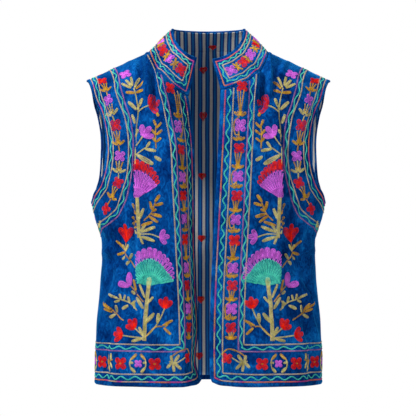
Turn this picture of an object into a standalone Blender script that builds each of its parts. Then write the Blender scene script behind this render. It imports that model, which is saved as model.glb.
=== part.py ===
"""Embroidered velvet waistcoat, sleeveless, stand collar, worn form with no wearer.

Cut as a maker cuts it: two fronts, a back and a collar in velvet, each with its
own lining. A pattern point (across, up) is laid on the worn form by body(), the
pleats are pressed in by pleats(), and every piece is a wall made from its own
lattice of pattern points. Sizes in millimetres, heights from the hem, front -Y.
"""
import math

import bpy
import numpy as np

for old in list(bpy.data.objects):
    bpy.data.objects.remove(old, do_unlink=True)

# ---------------------------------------------------------------- sizes
VELVET = 2.0            # cloth wall
LINING = 1.0
GAP = 0.3               # between cloth and lining, and across every seam
MARGIN = 8.0            # velvet turned in at the free edges
BORDER = 55.0           # embroidered band down each front edge
COLLAR_BOW = 1.6        # the collar bellies out a little
NECK_JOIN = 1.0         # collar starts this far along its own slope
ROLL_LINE = 430.0       # above this the cloth rolls over the shoulder
UNDERARM = 306.0        # top of the side seam
NECK_POINT = 99.0       # half width of the neck seam at the shoulder
TIP = 205.0             # half width at the shoulder tip
TIP_HEIGHT = 507.0
SHOULDER_SLOPE = 0.47
RING_POWER = 2.4        # roundness of a horizontal section
ROLL_POWER = 2.2        # roundness of the shoulder roll
TURN_RADIUS = 9.0       # the right front band rolls inward on this radius
NAPE = (0.0, 72.6, 562.2)   # centre back neck point, the origin

FIGURE = [  # height, half_width, front_depth, back_depth
    (0.0, 190.0, 112.0, 100.0),
    (55.0, 190.0, 112.5, 99.0),
    (100.0, 188.0, 112.5, 98.0),
    (178.0, 181.0, 112.0, 94.0),
    (222.0, 179.0, 113.0, 92.0),
    (248.0, 180.5, 115.0, 93.0),
    (276.0, 190.0, 119.0, 98.0),
    (306.0, 196.0, 122.0, 102.0),
    (350.0, 199.0, 120.0, 106.0),
    (400.0, 202.0, 113.0, 108.0),
    (430.0, 205.0, 106.0, 106.0),
]
ARMHOLE_FRONT = [  # half_width, height, from the underarm up to the tip
    (190.5, 322.0), (181.5, 338.0), (174.5, 358.0), (171.0, 380.0),
    (171.0, 403.0), (174.5, 430.0), (182.5, 458.0), (193.5, 485.0),
]
ARMHOLE_BACK = [
    (191.5, 325.0), (187.0, 343.0), (184.6, 366.0), (183.8, 392.0),
    (184.6, 420.0), (188.6, 448.0), (196.0, 478.0),
]
NECK_FRONT = [  # half_width, height, from the shoulder down to the front edge
    (97.5, 545.5), (93.0, 533.0), (84.0, 520.0), (71.0, 508.5),
    (55.0, 499.5), (38.0, 492.5), (22.0, 488.5), (12.0, 487.2),
]
NECK_BACK = [  # half_width, height, from the shoulder to the centre back
    (92.0, 559.3), (75.0, 561.0), (50.0, 562.2), (25.0, 562.9), (0.0, 563.0),
]
EDGE_LEFT = [  # height, half_width: front edge of the wearer's left front
    (0.0, 2.5), (63.0, 1.5), (171.0, 4.1), (253.0, 8.2), (330.0, 12.3),
    (412.0, 16.4), (486.0, 20.5),
]
TURN_RIGHT = [  # height, half_width of the turn line, angle turned inward
    (0.0, 44.5, 50.0), (14.0, 44.8, 63.0), (100.0, 46.0, 67.0),
    (225.0, 51.6, 68.0), (330.0, 57.0, 60.0), (412.0, 62.0, 56.0),
    (486.0, 79.0, 49.0),
]
PLEAT_LINE = [  # height, half_width: the long pressed pleat of each front
    (0.0, 113.0), (110.0, 116.5), (225.0, 119.0), (371.0, 121.0),
    (452.0, 114.0), (520.0, 104.0),
]
PLEATS = [  # across, foot, head, width, depth: soft folds of a front
    (89.0, 440.0, 545.0, 11.0, -5.0),
    (76.0, 450.0, 500.0, 11.0, 2.0),
    (150.0, -20.0, 75.0, 26.0, 3.0),
    (190.0, 10.0, 120.0, 18.0, -3.0),
    (172.0, 195.0, 225.0, 22.0, -3.5),
    (182.0, 222.0, 250.0, 24.0, 3.0),
    (205.0, 330.0, 460.0, 20.0, -2.0),
]
PLEATS_BACK = [  # across, foot, head, width, depth: soft folds of the back
    (-118.0, 90.0, 450.0, 16.0, -4.0),
    (112.0, 110.0, 430.0, 18.0, -4.5),
    (-60.0, -20.0, 200.0, 24.0, 3.0),
    (52.0, -20.0, 230.0, 26.0, 3.5),
    (-165.0, 195.0, 230.0, 26.0, -3.0),
    (170.0, 200.0, 238.0, 26.0, -3.5),
    (0.0, 150.0, 330.0, 30.0, -3.0),
    (20.0, 500.0, 560.0, 20.0, 2.0),
]
COLLAR_TOP = dict(half_width=59.0, centre=-12.0, front=62.0, back=35.0,
                  side_height=595.0, back_drop=2.5, front_drop=54.0)
COLLAR_ENDS = dict(right=70.7, left=84.0)   # degrees past the side
COLLAR_CURL = 14.0      # the right end sits deeper, with its front

# ---------------------------------------------------------------- worn form
def smooth(value, table, column):
    """A smooth curve through one column of a table, by cubic pieces."""
    rows = np.array(table, float)
    at, out = rows[:, 0], rows[:, column]
    slope = np.gradient(out, at)
    value = np.clip(value, at[0], at[-1])
    k = np.clip(np.searchsorted(at, value) - 1, 0, len(at) - 2)
    span = at[k + 1] - at[k]
    t = (value - at[k]) / span
    return ((2*t**3 - 3*t**2 + 1) * out[k] + (t**3 - 2*t**2 + t) * span * slope[k]
            + (3*t**2 - 2*t**3) * out[k + 1] + (t**3 - t**2) * span * slope[k + 1])


def ridge(half_width):
    return TIP_HEIGHT + (TIP - half_width) * SHOULDER_SLOPE


def section(along, half_width, depth):
    """The point at a cloth distance round one quarter of a section."""
    along, half_width, depth = np.broadcast_arrays(*np.atleast_1d(along, half_width, depth))
    phi = (1 - np.cos(np.linspace(0, math.pi, 90))) * math.pi / 4
    power = 2 / RING_POWER
    xs = half_width[:, None] * np.sin(phi)[None] ** power
    ys = depth[:, None] * np.cos(phi)[None] ** power
    ys[:, -1] = 0.0
    run = np.zeros_like(xs)
    run[:, 1:] = np.cumsum(np.hypot(np.diff(xs), np.diff(ys)), axis=1)
    along = np.clip(along, 0, run[:, -1])
    k = np.clip((run <= along[:, None]).sum(1) - 1, 0, len(phi) - 2)
    n = np.arange(len(along))
    t = (along - run[n, k]) / (run[n, k + 1] - run[n, k])
    return (xs[n, k] + t * (xs[n, k + 1] - xs[n, k]),
            ys[n, k] + t * (ys[n, k + 1] - ys[n, k]))


def round_to(x, half_width, depth):
    """Cloth distance round a section from the centre line out to x."""
    phi = (1 - np.cos(np.linspace(0, math.pi, 400))) * math.pi / 4
    power = 2 / RING_POWER
    xs = half_width * np.sin(phi) ** power
    ys = depth * np.cos(phi) ** power
    ys[-1] = 0.0
    run = np.concatenate([[0], np.cumsum(np.hypot(np.diff(xs), np.diff(ys)))])
    return float(np.interp(x, xs, run))


def girth(height, face):
    low = min(height, ROLL_LINE)
    depth = smooth(low, FIGURE, 2 if face < 0 else 3)
    return round_to(1e9, smooth(low, FIGURE, 1), depth)


def roll_length(along, face):
    """Length of cloth from the roll line up to the shoulder ridge."""
    depth = smooth(ROLL_LINE, FIGURE, 2 if face < 0 else 3)
    x, y = section(along, smooth(ROLL_LINE, FIGURE, 1), depth)
    rise = ridge(np.minimum(along, TIP)) - ROLL_LINE
    return math.pi / 2 * np.sqrt((y ** 2 + rise ** 2) / 2)


def body(across, up, face):
    """Lay a pattern point on the worn form. face: -1 front, +1 back."""
    across, up = np.broadcast_arrays(*np.atleast_1d(across, up))
    across, up = across.astype(float), up.astype(float)
    along = np.abs(across)
    low = np.minimum(up, ROLL_LINE)
    wide = smooth(low, FIGURE, 1)
    depth = smooth(low, FIGURE, 2 if face < 0 else 3)
    roll = np.clip((up - ROLL_LINE) / roll_length(along, face), 0, 1) * math.pi / 2
    power = 2 / ROLL_POWER
    x, y = section(along, wide, depth * np.cos(roll) ** power + 1e-6)
    z = low + (ridge(x) - ROLL_LINE) * np.sin(roll) ** power
    return np.stack([x * np.sign(across), face * y, z], axis=1)


def pattern(x, z, face):
    """Where a front view position lies on the cloth, as (across, up)."""
    if z <= ROLL_LINE:
        depth = smooth(z, FIGURE, 2 if face < 0 else 3)
        return round_to(x, smooth(z, FIGURE, 1), depth), z
    depth = smooth(ROLL_LINE, FIGURE, 2 if face < 0 else 3)
    lift = min(1.0, (z - ROLL_LINE) / (ridge(x) - ROLL_LINE))
    roll = math.asin(lift ** (ROLL_POWER / 2))
    across = round_to(x, smooth(ROLL_LINE, FIGURE, 1), depth * math.cos(roll) ** (2 / ROLL_POWER) + 1e-6)
    return across, ROLL_LINE + roll / (math.pi / 2) * float(roll_length(across, face)[0])


def bump(t):
    """A soft hump, one at the middle and nothing beyond one width."""
    t = np.clip(np.abs(t), 0, 1)
    return (1 - t * t) ** 2


def pleats(across, up, face, hand):
    """How far the folds lift the cloth off the form."""
    lift = np.zeros_like(across)
    if face < 0:
        along = np.abs(across)
        side = along - np.interp(up, PLEAT_HEIGHTS, PLEAT_ACROSS)
        strength = bump((up - 285) / 190) ** 0.5
        lift += strength * np.where(side < 0, 4.0 * bump((side + 6) / 26), -5.0 * bump((side - 8) / 30))
        table, where = PLEATS, along
        wave = 1.0 if hand > 0 else 0.85
    else:
        table, where, wave = PLEATS_BACK, across, 1.0
    for centre, foot, head, width, depth in table:
        middle, reach = (foot + head) / 2, (head - foot) / 2 + 12
        lift += wave * depth * bump((where - centre) / width) * bump((up - middle) / reach) ** 0.7
    return lift


PLEAT_HEIGHTS = np.array([row[0] for row in PLEAT_LINE])
PLEAT_ACROSS = np.array([pattern(x, h, -1)[0] for h, x in PLEAT_LINE])


def cloth(across, up, face, hand=1):
    """Pattern point to worn position, with folds and the turned right band."""
    across, up = np.broadcast_arrays(*np.atleast_1d(across, up))
    across, up = across.astype(float), up.astype(float)

    def folded(a):
        step = 0.5
        here = body(a, up, face)
        right = body(a + step, up, face) - body(a - step, up, face)
        top = body(a, up + step, face) - body(a, up - step, face)
        out = np.cross(right, top) * -face
        out /= np.linalg.norm(out, axis=1)[:, None] + 1e-12
        return here + out * pleats(a, up, face, hand)[:, None], out

    if face > 0 or hand > 0:
        return folded(across)[0]
    turn = smooth(up, TURN_RIGHT, 1)
    beta = np.radians(smooth(up, TURN_RIGHT, 2))
    free = np.maximum(turn + across, 0)                  # cloth past the turn line
    held = np.where(free > 0, -turn, across)
    here, out = folded(held)
    toward = folded(held + 0.5)[0] - here
    toward /= np.linalg.norm(toward, axis=1)[:, None]
    bend = np.minimum(free, TURN_RADIUS * beta)
    angle = bend / TURN_RADIUS
    rest = (free - bend)
    return here + toward * (TURN_RADIUS * np.sin(angle) + rest * np.cos(beta))[:, None] \
        - out * (TURN_RADIUS * (1 - np.cos(angle)) + rest * np.sin(beta))[:, None]


# ---------------------------------------------------------------- pattern
def curve(points, count=240):
    """A smooth line through a few points, evenly spaced."""
    p = np.array(points, float)
    q = np.vstack([2 * p[0] - p[1], p, 2 * p[-1] - p[-2]])
    out = []
    for a, b, c, d in zip(q[:-3], q[1:-2], q[2:-1], q[3:]):
        for t in np.linspace(0, 1, 24, endpoint=False):
            out.append(0.5 * (2*b + (c - a)*t + (2*a - 5*b + 4*c - d)*t*t + (3*b - a - 3*c + d)*t**3))
    out.append(p[-1])
    return spaced(np.array(out), np.linspace(0, 1, count))


def spaced(line, fractions):
    """Points at fractions of a line's length."""
    run = np.concatenate([[0], np.cumsum(np.linalg.norm(np.diff(line, axis=0), axis=1))])
    at = np.asarray(fractions) * run[-1]
    return np.stack([np.interp(at, run, line[:, k]) for k in range(line.shape[1])], axis=1)


def inset(line, distance):
    """A line moved to its left, its ends run on past the corners."""
    along = np.gradient(line, axis=0)
    along /= np.linalg.norm(along, axis=1)[:, None]
    moved = line + distance * np.stack([-along[:, 1], along[:, 0]], axis=1)
    return np.vstack([moved[0] - along[0] * 2 * distance, moved, moved[-1] + along[-1] * 2 * distance])


def corner(first, second):
    """Where two dense lines cross: a place on each."""
    a, b = spaced(first, np.linspace(0, 1, 1200)), spaced(second, np.linspace(0, 1, 1200))
    gap = np.linalg.norm(a[:, None] - b[None], axis=2)
    i, j = np.unravel_index(np.argmin(gap), gap.shape)
    return i / 1199, j / 1199


def between(line, start, stop, fractions=np.linspace(0, 1, 400)):
    return spaced(line, start + (stop - start) * np.asarray(fractions))


def nearest(points, line):
    line = spaced(line, np.linspace(0, 1, 2400))
    gap = np.linalg.norm(points[:, None] - line[None], axis=2)
    return line[np.argmin(gap, axis=1)]


def coons(left, right, low, high):
    """Fill a four-sided patch from its edges."""
    def share(line):
        run = np.concatenate([[0], np.cumsum(np.linalg.norm(np.diff(line, axis=0), axis=1))])
        return run / run[-1]
    u = (share(low) + share(high)) / 2
    v = (share(left) + share(right)) / 2
    u, v = u[None, :, None], v[:, None, None]
    return ((1 - u) * left[:, None] + u * right[:, None] + (1 - v) * low[None] + v * high[None]
            - (1 - u) * (1 - v) * low[0] - u * (1 - v) * low[-1]
            - (1 - u) * v * high[0] - u * v * high[-1])


def shoulder_up(x, face):
    return ROLL_LINE + float(roll_length(x, face)[0])


def half_piece(face, edge, neck, guides):
    """Pattern lattice of one half piece, drawn on the +X side.

    edge runs up the centre, neck on to the shoulder. guides are lines up the
    piece, as (line or None for the neck point, height of its underarm row,
    shares of the strip between it and the one before). The outermost ring of
    the lattice is the turned-in margin.
    """
    quarter = girth(UNDERARM, face)
    places = [pattern(x, z, face) for x, z in (ARMHOLE_FRONT if face < 0 else ARMHOLE_BACK)]
    tip = (TIP, shoulder_up(TIP, face))
    arm = curve([(quarter, UNDERARM), (quarter - 15, UNDERARM + 1.0),
                 (quarter - 29, UNDERARM + 5.0)] + places + [tip])
    seam = np.array([(girth(h, face), h) for h in np.linspace(0, UNDERARM, 80)])
    shoulder = np.array([(x, shoulder_up(x, face)) for x in np.linspace(NECK_POINT, TIP, 60)])
    foot = edge[0]
    if face < 0:        # the corner is rounded, and the hem falls away from it
        hem = curve([foot, foot + (10.6, -4.4), foot + (24, -6.2), foot + (60, -foot[1]),
                     (150.0, 0.0), seam[0]])
        edge_in = inset(edge[::-1], MARGIN)[::-1]
    else:
        hem = np.array([foot, seam[0]])
        edge_in = edge
    hem_in, seam_in, arm_in = (inset(line, MARGIN) for line in (spaced(hem, np.linspace(0, 1, 240)), seam, arm))
    neck_in, shoulder_in = (inset(line[::-1], MARGIN)[::-1] for line in (neck, shoulder))

    edge_lo, hem_start = corner(edge_in, hem_in)
    edge_hi, neck_start = corner(edge_in, neck_in)
    neck_end, shoulder_start = corner(neck_in, shoulder_in)
    shoulder_end, arm_end = corner(shoulder_in, arm_in)
    arm_start, seam_end = corner(arm_in, seam_in)
    seam_start, hem_end = corner(seam_in, hem_in)

    def stack(line, row_height):
        share = np.interp(row_height, line[:, 1], np.linspace(0, 1, len(line)))
        return spaced(line, np.concatenate([share * ROWS_LOW, share + (1 - share) * ROWS_HIGH[1:]]))

    stacks = [stack(between(edge_in, edge_lo, edge_hi), UNDERARM_ROWS[0])]
    feet, heads = [hem_start], [neck_start]
    for line, row_height, _ in guides[:-1]:
        if callable(line):
            line = line(between(neck_in, neck_end, neck_end, [0])[0])
        lo, foot_share = corner(line, hem_in)
        hi, head_share = corner(line, neck_in)
        stacks.append(stack(between(line, lo, hi), row_height))
        feet.append(foot_share)
        heads.append(head_share)
    heads[-1] = neck_end
    stacks.append(np.vstack([between(seam_in, seam_start, seam_end, ROWS_LOW),
                             between(arm_in, arm_start, arm_end, ROWS_HIGH[1:])]))
    feet.append(hem_end)

    strips = []
    for k, (_, _, share) in enumerate(guides):
        low = between(hem_in, feet[k], feet[k + 1], share)
        high = between(neck_in, heads[k], heads[k + 1], share) if k < len(guides) - 1 \
            else between(shoulder_in, shoulder_start, shoulder_end, share)
        low[0], low[-1], high[0], high[-1] = stacks[k][0], stacks[k + 1][0], stacks[k][-1], stacks[k + 1][-1]
        patch = coons(stacks[k], stacks[k + 1], low, high)
        strips.append(patch if k == 0 else patch[:, 1:])
    inner = np.concatenate(strips, axis=1)

    rows, cols = inner.shape[:2]
    under = len(ROWS_LOW) - 1
    point = cols - len(guides[-1][2])       # column that meets the neck point
    grid = np.zeros((rows + 2, cols + 2, 2))
    grid[1:-1, 1:-1] = inner
    grid[0, 1:-1] = nearest(inner[0], hem)
    grid[-1, 1:1 + point] = nearest(inner[-1, :point], neck)
    grid[-1, 1 + point] = neck[-1]
    grid[-1, 2 + point:-1] = nearest(inner[-1, point + 1:], shoulder)
    grid[1:1 + under, -1] = nearest(inner[:under, -1], seam)
    grid[1 + under, -1] = arm[0]
    grid[2 + under:-1, -1] = nearest(inner[under + 1:, -1], arm)
    grid[1:-1, 0] = nearest(inner[:, 0], edge)
    grid[0, 0], grid[0, -1], grid[-1, 0], grid[-1, -1] = hem[0], hem[-1], neck[0], tip
    if face > 0:
        return grid[:, 1:], under + 1, point
    return grid, under + 1, point + 1


ROWS_LOW = np.array([0, .13, .27, .41, .55, .68, .79, .90, 1])      # hem to underarm
ROWS_HIGH = np.array([0, .08, .17, .28, .41, .55, .70, .85, 1])     # underarm to shoulder
UNDERARM_ROWS = (266.0, 272.0, 288.0)   # height of the underarm row at edge, turn and pleat


def front_piece(hand):
    heights = np.linspace(19, 500, 120)
    run = smooth(heights, EDGE_LEFT, 1) if hand > 0 else smooth(heights, TURN_RIGHT, 1) - BORDER
    bend = np.radians(np.linspace(225, 180, 12)[:-1])
    edge = np.vstack([np.stack([run[0] + 15 + 15 * np.cos(bend), 19 + 15 * np.sin(bend)], axis=1),
                      np.stack([run, heights], axis=1)])
    neck = curve([pattern(x, z, -1) for x, z in NECK_FRONT[::-1]] + [(NECK_POINT, shoulder_up(NECK_POINT, -1))])
    if run[-1] < NECK_FRONT[-1][0]:
        neck = np.vstack([[(run[-1], neck[0][1])], neck])
    top, start = corner(edge, neck)
    turn = inset(edge[12:][::-1], BORDER)[::-1]
    def pleat(neck_point):      # past the pleat's head it swings out to the neck point
        return curve(list(zip(PLEAT_ACROSS, PLEAT_HEIGHTS))[:4]
                     + [(122.0, 430.0), (119.5, 490.0), (116.5, 548.0), neck_point])
    return half_piece(-1, between(edge, 0, top), between(neck, start, 1), [
        (turn, UNDERARM_ROWS[1], (0, .28, .55, .80, 1)),
        (pleat, UNDERARM_ROWS[2], (0, .22, .44, .66, .84, .94, 1)),
        (None, 0, (0, .08, .2, .37, .56, .78, 1)),
    ])


def back_piece():
    neck = curve([pattern(x, z, 1) for x, z in NECK_BACK[::-1]] + [(NECK_POINT, shoulder_up(NECK_POINT, 1))])
    edge = np.stack([np.zeros(100), np.linspace(0, neck[0][1], 100)], axis=1)
    def neck_line(neck_point):
        return curve([(84.0, -4.0), (88.0, 280.0), neck_point])
    grid, under, point = half_piece(1, edge, neck, [
        (neck_line, 292.0, (0, .25, .5, .75, 1)),
        (None, 0, (0, .2, .4, .6, .8, 1)),
    ])
    left = grid[:, :0:-1] * (-1, 1)
    return np.concatenate([left, grid], axis=1), under, (left.shape[1] - point, left.shape[1] + point)


# ---------------------------------------------------------------- walls
def normals(grid, out):
    """Outward direction at every lattice point."""
    side = np.gradient(grid, axis=1)
    rise = np.gradient(grid, axis=0)
    n = np.cross(side, rise) * out
    return n / np.linalg.norm(n, axis=2)[:, :, None]


def wall(name, grid, out, outer, inner, keep, colour, flip):
    """A closed sheet of cloth between two depths below the lattice."""
    rows, cols = grid.shape[:2]
    number, verts, faces = {}, [], []
    for layer, depth in enumerate((outer, inner)):
        for i in range(rows):
            for j in range(cols):
                if keep[max(i - 1, 0):i + 1, max(j - 1, 0):j + 1].any():
                    number[layer, i, j] = len(verts)
                    verts.append((grid[i, j] - out[i, j] * depth - np.array(NAPE)) * 0.001)
    def add(*corners):
        faces.append(corners if not flip else corners[::-1])
    for i in range(rows - 1):
        for j in range(cols - 1):
            if not keep[i, j]:
                continue
            a, b, c, d = ((0, i, j), (0, i, j + 1), (0, i + 1, j + 1), (0, i + 1, j))
            for layer in (0, 1):
                p, q, r, s = (number[(layer,) + k[1:]] for k in (a, b, c, d))
                if layer == 0:
                    add(p, q, r)
                    add(p, r, s)
                else:
                    add(p, r, q)
                    add(p, s, r)
            beside = {(a, b): (i - 1, j), (b, c): (i, j + 1), (c, d): (i + 1, j), (d, a): (i, j - 1)}
            for (m, n), (y, x) in beside.items():
                if not (0 <= y < rows - 1 and 0 <= x < cols - 1 and keep[y, x]):
                    p, q = number[m], number[n]
                    s, r = number[(1,) + m[1:]], number[(1,) + n[1:]]
                    add(q, p, s)
                    add(q, s, r)
    mesh = bpy.data.meshes.new(name)
    mesh.from_pydata([tuple(v) for v in verts], [], faces)
    mesh.validate()
    thing = bpy.data.objects.new(name, mesh)
    bpy.context.scene.collection.objects.link(thing)
    paint = bpy.data.materials.new(name)
    paint.use_nodes = True
    paint.node_tree.nodes["Principled BSDF"].inputs["Base Color"].default_value = colour
    paint.node_tree.nodes["Principled BSDF"].inputs["Roughness"].default_value = 0.9
    mesh.materials.append(paint)
    return thing


pieces = {}
for name, hand in (("front_right", -1), ("front_left", 1)):
    flat, under, point = front_piece(hand)
    worn = cloth(flat[..., 0].ravel() * hand, flat[..., 1].ravel(), -1, hand).reshape(flat.shape[:2] + (3,))
    pieces[name] = dict(flat=flat, worn=worn, under=under, point=point, face=-1, turn=hand)
flat, under, point = back_piece()
worn = cloth(flat[..., 0].ravel(), flat[..., 1].ravel(), 1).reshape(flat.shape[:2] + (3,))
pieces["back_panel"] = dict(flat=flat, worn=worn, under=under, point=point, face=1, turn=-1)

for piece in pieces.values():       # trim the seams, walls square to them
    worn, face, point = piece["worn"], piece["face"], piece["point"]
    out = normals(worn, piece["turn"])
    out[..., 1] *= np.clip((np.abs(worn[..., 1]) - 0.5) / 12, 0, 1)
    piece["out"] = out / np.linalg.norm(out, axis=2)[:, :, None]
    low = slice(0, piece["under"] + 1)
    if face < 0:
        worn[low, -1, 1] = worn[-1, point:, 1] = -GAP / 2
    else:
        worn[low, -1, 1] = worn[low, 0, 1] = GAP / 2
        worn[-1, :point[0] + 1, 1] = worn[-1, point[1]:, 1] = GAP / 2

# ---------------------------------------------------------------- collar
right, left, back = pieces["front_right"], pieces["front_left"], pieces["back_panel"]
seat = [(right, j) for j in range(right["point"])] + \
       [(back, j) for j in range(back["point"][0], back["point"][1] + 1)] + \
       [(left, j) for j in range(left["point"] - 1, -1, -1)]
base = np.array([piece["worn"][-1, j] for piece, j in seat])
count_right, count_left = right["point"], left["point"]


def share(line):
    run = np.concatenate([[0], np.cumsum(np.linalg.norm(np.diff(line, axis=0), axis=1))])
    return run / run[-1]


first, last = count_right, len(base) - 1 - count_left
angle = np.concatenate([
    -90 - COLLAR_ENDS["right"] * (1 - share(base[:first + 1]))[:-1],
    -90 + 180 * share(base[first:last + 1]),
    (90 + COLLAR_ENDS["left"] * share(base[last:]))[1:]])
turn = np.radians(angle)                      # 0 at the back, +90 at the left side
ahead = -np.cos(turn)
top = np.stack([
    COLLAR_TOP["half_width"] * np.sin(turn),
    COLLAR_TOP["centre"] - np.where(ahead > 0, COLLAR_TOP["front"], COLLAR_TOP["back"]) * ahead
    + np.where(turn < 0, COLLAR_CURL * np.clip((-angle - 105) / 55, 0, 1) ** 2, 0),
    COLLAR_TOP["side_height"] - np.where(ahead > 0, COLLAR_TOP["front_drop"], -COLLAR_TOP["back_drop"]) * ahead], axis=1)
slope = top - base
slope /= np.linalg.norm(slope, axis=1)[:, None]
start = base + slope * NECK_JOIN
levels = np.array([0, .32, .64, .91, 1.0])
band = start[None] + levels[:, None, None] * (top - start)[None]
band_out = normals(band, -1)
band += band_out * (COLLAR_BOW * 4 * levels * (1 - levels))[:, None, None]
band_out = normals(band, -1)
for k, (piece, j) in enumerate(seat):         # both walls meet on one mitre
    mitre = piece["out"][-1, j] + band_out[0, k]
    mitre /= np.linalg.norm(mitre)
    piece["out"][-1, j] = mitre
    band_out[0, k] = mitre
left["out"][-1, left["point"]] = back["out"][-1, back["point"][1]]
right["out"][-1, right["point"]] = back["out"][-1, back["point"][0]]

# ---------------------------------------------------------------- pieces
BLUE, STRIPE = (0.01, 0.06, 0.30, 1), (0.45, 0.43, 0.42, 1)
for name, piece in pieces.items():
    rows, cols = piece["worn"].shape[0] - 1, piece["worn"].shape[1] - 1
    whole = np.ones((rows, cols), bool)
    wall(name, piece["worn"], piece["out"], 0, VELVET, whole, BLUE, piece["turn"] < 0)
    inside = whole.copy()
    inside[0] = False
    inside[piece["under"]:, -1] = False
    if piece["face"] < 0:
        inside[:, 0] = False
    else:
        inside[piece["under"]:, 0] = False
    wall("lining_" + name.replace("_panel", ""), piece["worn"], piece["out"],
         VELVET + GAP, VELVET + GAP + LINING, inside, STRIPE, piece["turn"] < 0)

whole = np.ones((band.shape[0] - 1, band.shape[1] - 1), bool)
wall("collar", band, band_out, 0, VELVET, whole, BLUE, True)
inside = whole.copy()
inside[-1] = False
inside[:, 0] = inside[:, -1] = False
wall("lining_collar", band, band_out, VELVET + GAP, VELVET + GAP + LINING, inside, STRIPE, True)
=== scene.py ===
"""Embroidered velvet waistcoat: the looks.

Crushed cotton velvet on a striped cotton lining, worked all over in chain
stitch. Sizes are in millimetres on the cutting pattern: across from the centre
line, up from the hem. The frame is in metres with its origin at the nape.
"""
import math

import bpy
import numpy as np
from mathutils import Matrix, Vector


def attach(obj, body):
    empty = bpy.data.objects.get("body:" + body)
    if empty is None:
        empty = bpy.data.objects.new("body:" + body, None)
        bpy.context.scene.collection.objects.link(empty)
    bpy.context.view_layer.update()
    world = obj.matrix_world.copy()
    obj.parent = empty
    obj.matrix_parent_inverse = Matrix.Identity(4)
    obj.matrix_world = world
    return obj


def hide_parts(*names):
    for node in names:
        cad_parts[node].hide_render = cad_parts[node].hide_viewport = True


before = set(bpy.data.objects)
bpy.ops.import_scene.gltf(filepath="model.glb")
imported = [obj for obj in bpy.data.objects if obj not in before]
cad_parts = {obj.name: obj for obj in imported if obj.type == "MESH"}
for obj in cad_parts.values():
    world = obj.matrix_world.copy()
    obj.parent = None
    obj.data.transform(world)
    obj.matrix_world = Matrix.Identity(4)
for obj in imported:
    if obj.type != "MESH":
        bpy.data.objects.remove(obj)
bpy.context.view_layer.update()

# ---------------------------------------------------------------- the velvet fronts and back
# Two fronts and a back cut from crushed cotton velvet, sewn at the sides and
# shoulders. The right front band rolls inward. The pieces are laid on the worn
# form from their own pattern, and the wearer's folds are pressed in afterwards.
VELVET = 2.0            # cloth wall
MARGIN = 8.0            # velvet turned in at the free edges
BORDER = 55.0           # embroidered band down each front edge
ROLL_LINE = 430.0       # above this the cloth rolls over the shoulder
UNDERARM = 306.0        # top of the side seam
NECK_POINT = 99.0       # half width of the neck seam at the shoulder
TIP = 205.0             # half width at the shoulder tip
TIP_HEIGHT = 507.0
SHOULDER_SLOPE = 0.47
RING_POWER = 2.4        # roundness of a horizontal section
ROLL_POWER = 2.2        # roundness of the shoulder roll
TURN_RADIUS = 9.0       # the right front band rolls inward on this radius
NAPE = (0.0, 72.6, 562.2)   # centre back neck point, the origin

FIGURE = [  # height, half_width, front_depth, back_depth
    (0.0, 190.0, 112.0, 100.0),
    (55.0, 190.0, 112.5, 99.0),
    (100.0, 188.0, 112.5, 98.0),
    (178.0, 181.0, 112.0, 94.0),
    (222.0, 179.0, 113.0, 92.0),
    (248.0, 180.5, 115.0, 93.0),
    (276.0, 190.0, 119.0, 98.0),
    (306.0, 196.0, 122.0, 102.0),
    (350.0, 199.0, 120.0, 106.0),
    (400.0, 202.0, 113.0, 108.0),
    (430.0, 205.0, 106.0, 106.0),
]
ARMHOLE_FRONT = [  # half_width, height, from the underarm up to the tip
    (190.5, 322.0), (181.5, 338.0), (174.5, 358.0), (171.0, 380.0),
    (171.0, 403.0), (174.5, 430.0), (182.5, 458.0), (193.5, 485.0),
]
ARMHOLE_BACK = [
    (191.5, 325.0), (187.0, 343.0), (184.6, 366.0), (183.8, 392.0),
    (184.6, 420.0), (188.6, 448.0), (196.0, 478.0),
]
NECK_FRONT = [  # half_width, height, from the shoulder down to the front edge
    (97.5, 545.5), (93.0, 533.0), (84.0, 520.0), (71.0, 508.5),
    (55.0, 499.5), (38.0, 492.5), (22.0, 488.5), (12.0, 487.2),
]
NECK_BACK = [  # half_width, height, from the shoulder to the centre back
    (92.0, 559.3), (75.0, 561.0), (50.0, 562.2), (25.0, 562.9), (0.0, 563.0),
]
EDGE_LEFT = [  # height, half_width: front edge of the wearer's left front
    (0.0, 2.5), (63.0, 1.5), (171.0, 4.1), (253.0, 8.2), (330.0, 12.3),
    (412.0, 16.4), (486.0, 20.5),
]
TURN_RIGHT = [  # height, half_width of the turn line, angle turned inward
    (0.0, 44.5, 50.0), (14.0, 44.8, 63.0), (100.0, 46.0, 67.0),
    (225.0, 51.6, 68.0), (330.0, 57.0, 60.0), (412.0, 62.0, 56.0),
    (486.0, 79.0, 49.0),
]
PLEAT_LINE = [  # height, half_width: the long pressed pleat of each front
    (0.0, 113.0), (110.0, 116.5), (225.0, 119.0), (371.0, 121.0),
    (452.0, 114.0), (520.0, 104.0),
]


def smooth(value, table, column):
    """A smooth curve through one column of a table, by cubic pieces."""
    rows = np.array(table, float)
    at, out = rows[:, 0], rows[:, column]
    slope = np.gradient(out, at)
    value = np.clip(value, at[0], at[-1])
    k = np.clip(np.searchsorted(at, value) - 1, 0, len(at) - 2)
    span = at[k + 1] - at[k]
    t = (value - at[k]) / span
    return ((2*t**3 - 3*t**2 + 1) * out[k] + (t**3 - 2*t**2 + t) * span * slope[k]
            + (3*t**2 - 2*t**3) * out[k + 1] + (t**3 - t**2) * span * slope[k + 1])


def ridge(half_width):
    return TIP_HEIGHT + (TIP - half_width) * SHOULDER_SLOPE


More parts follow.
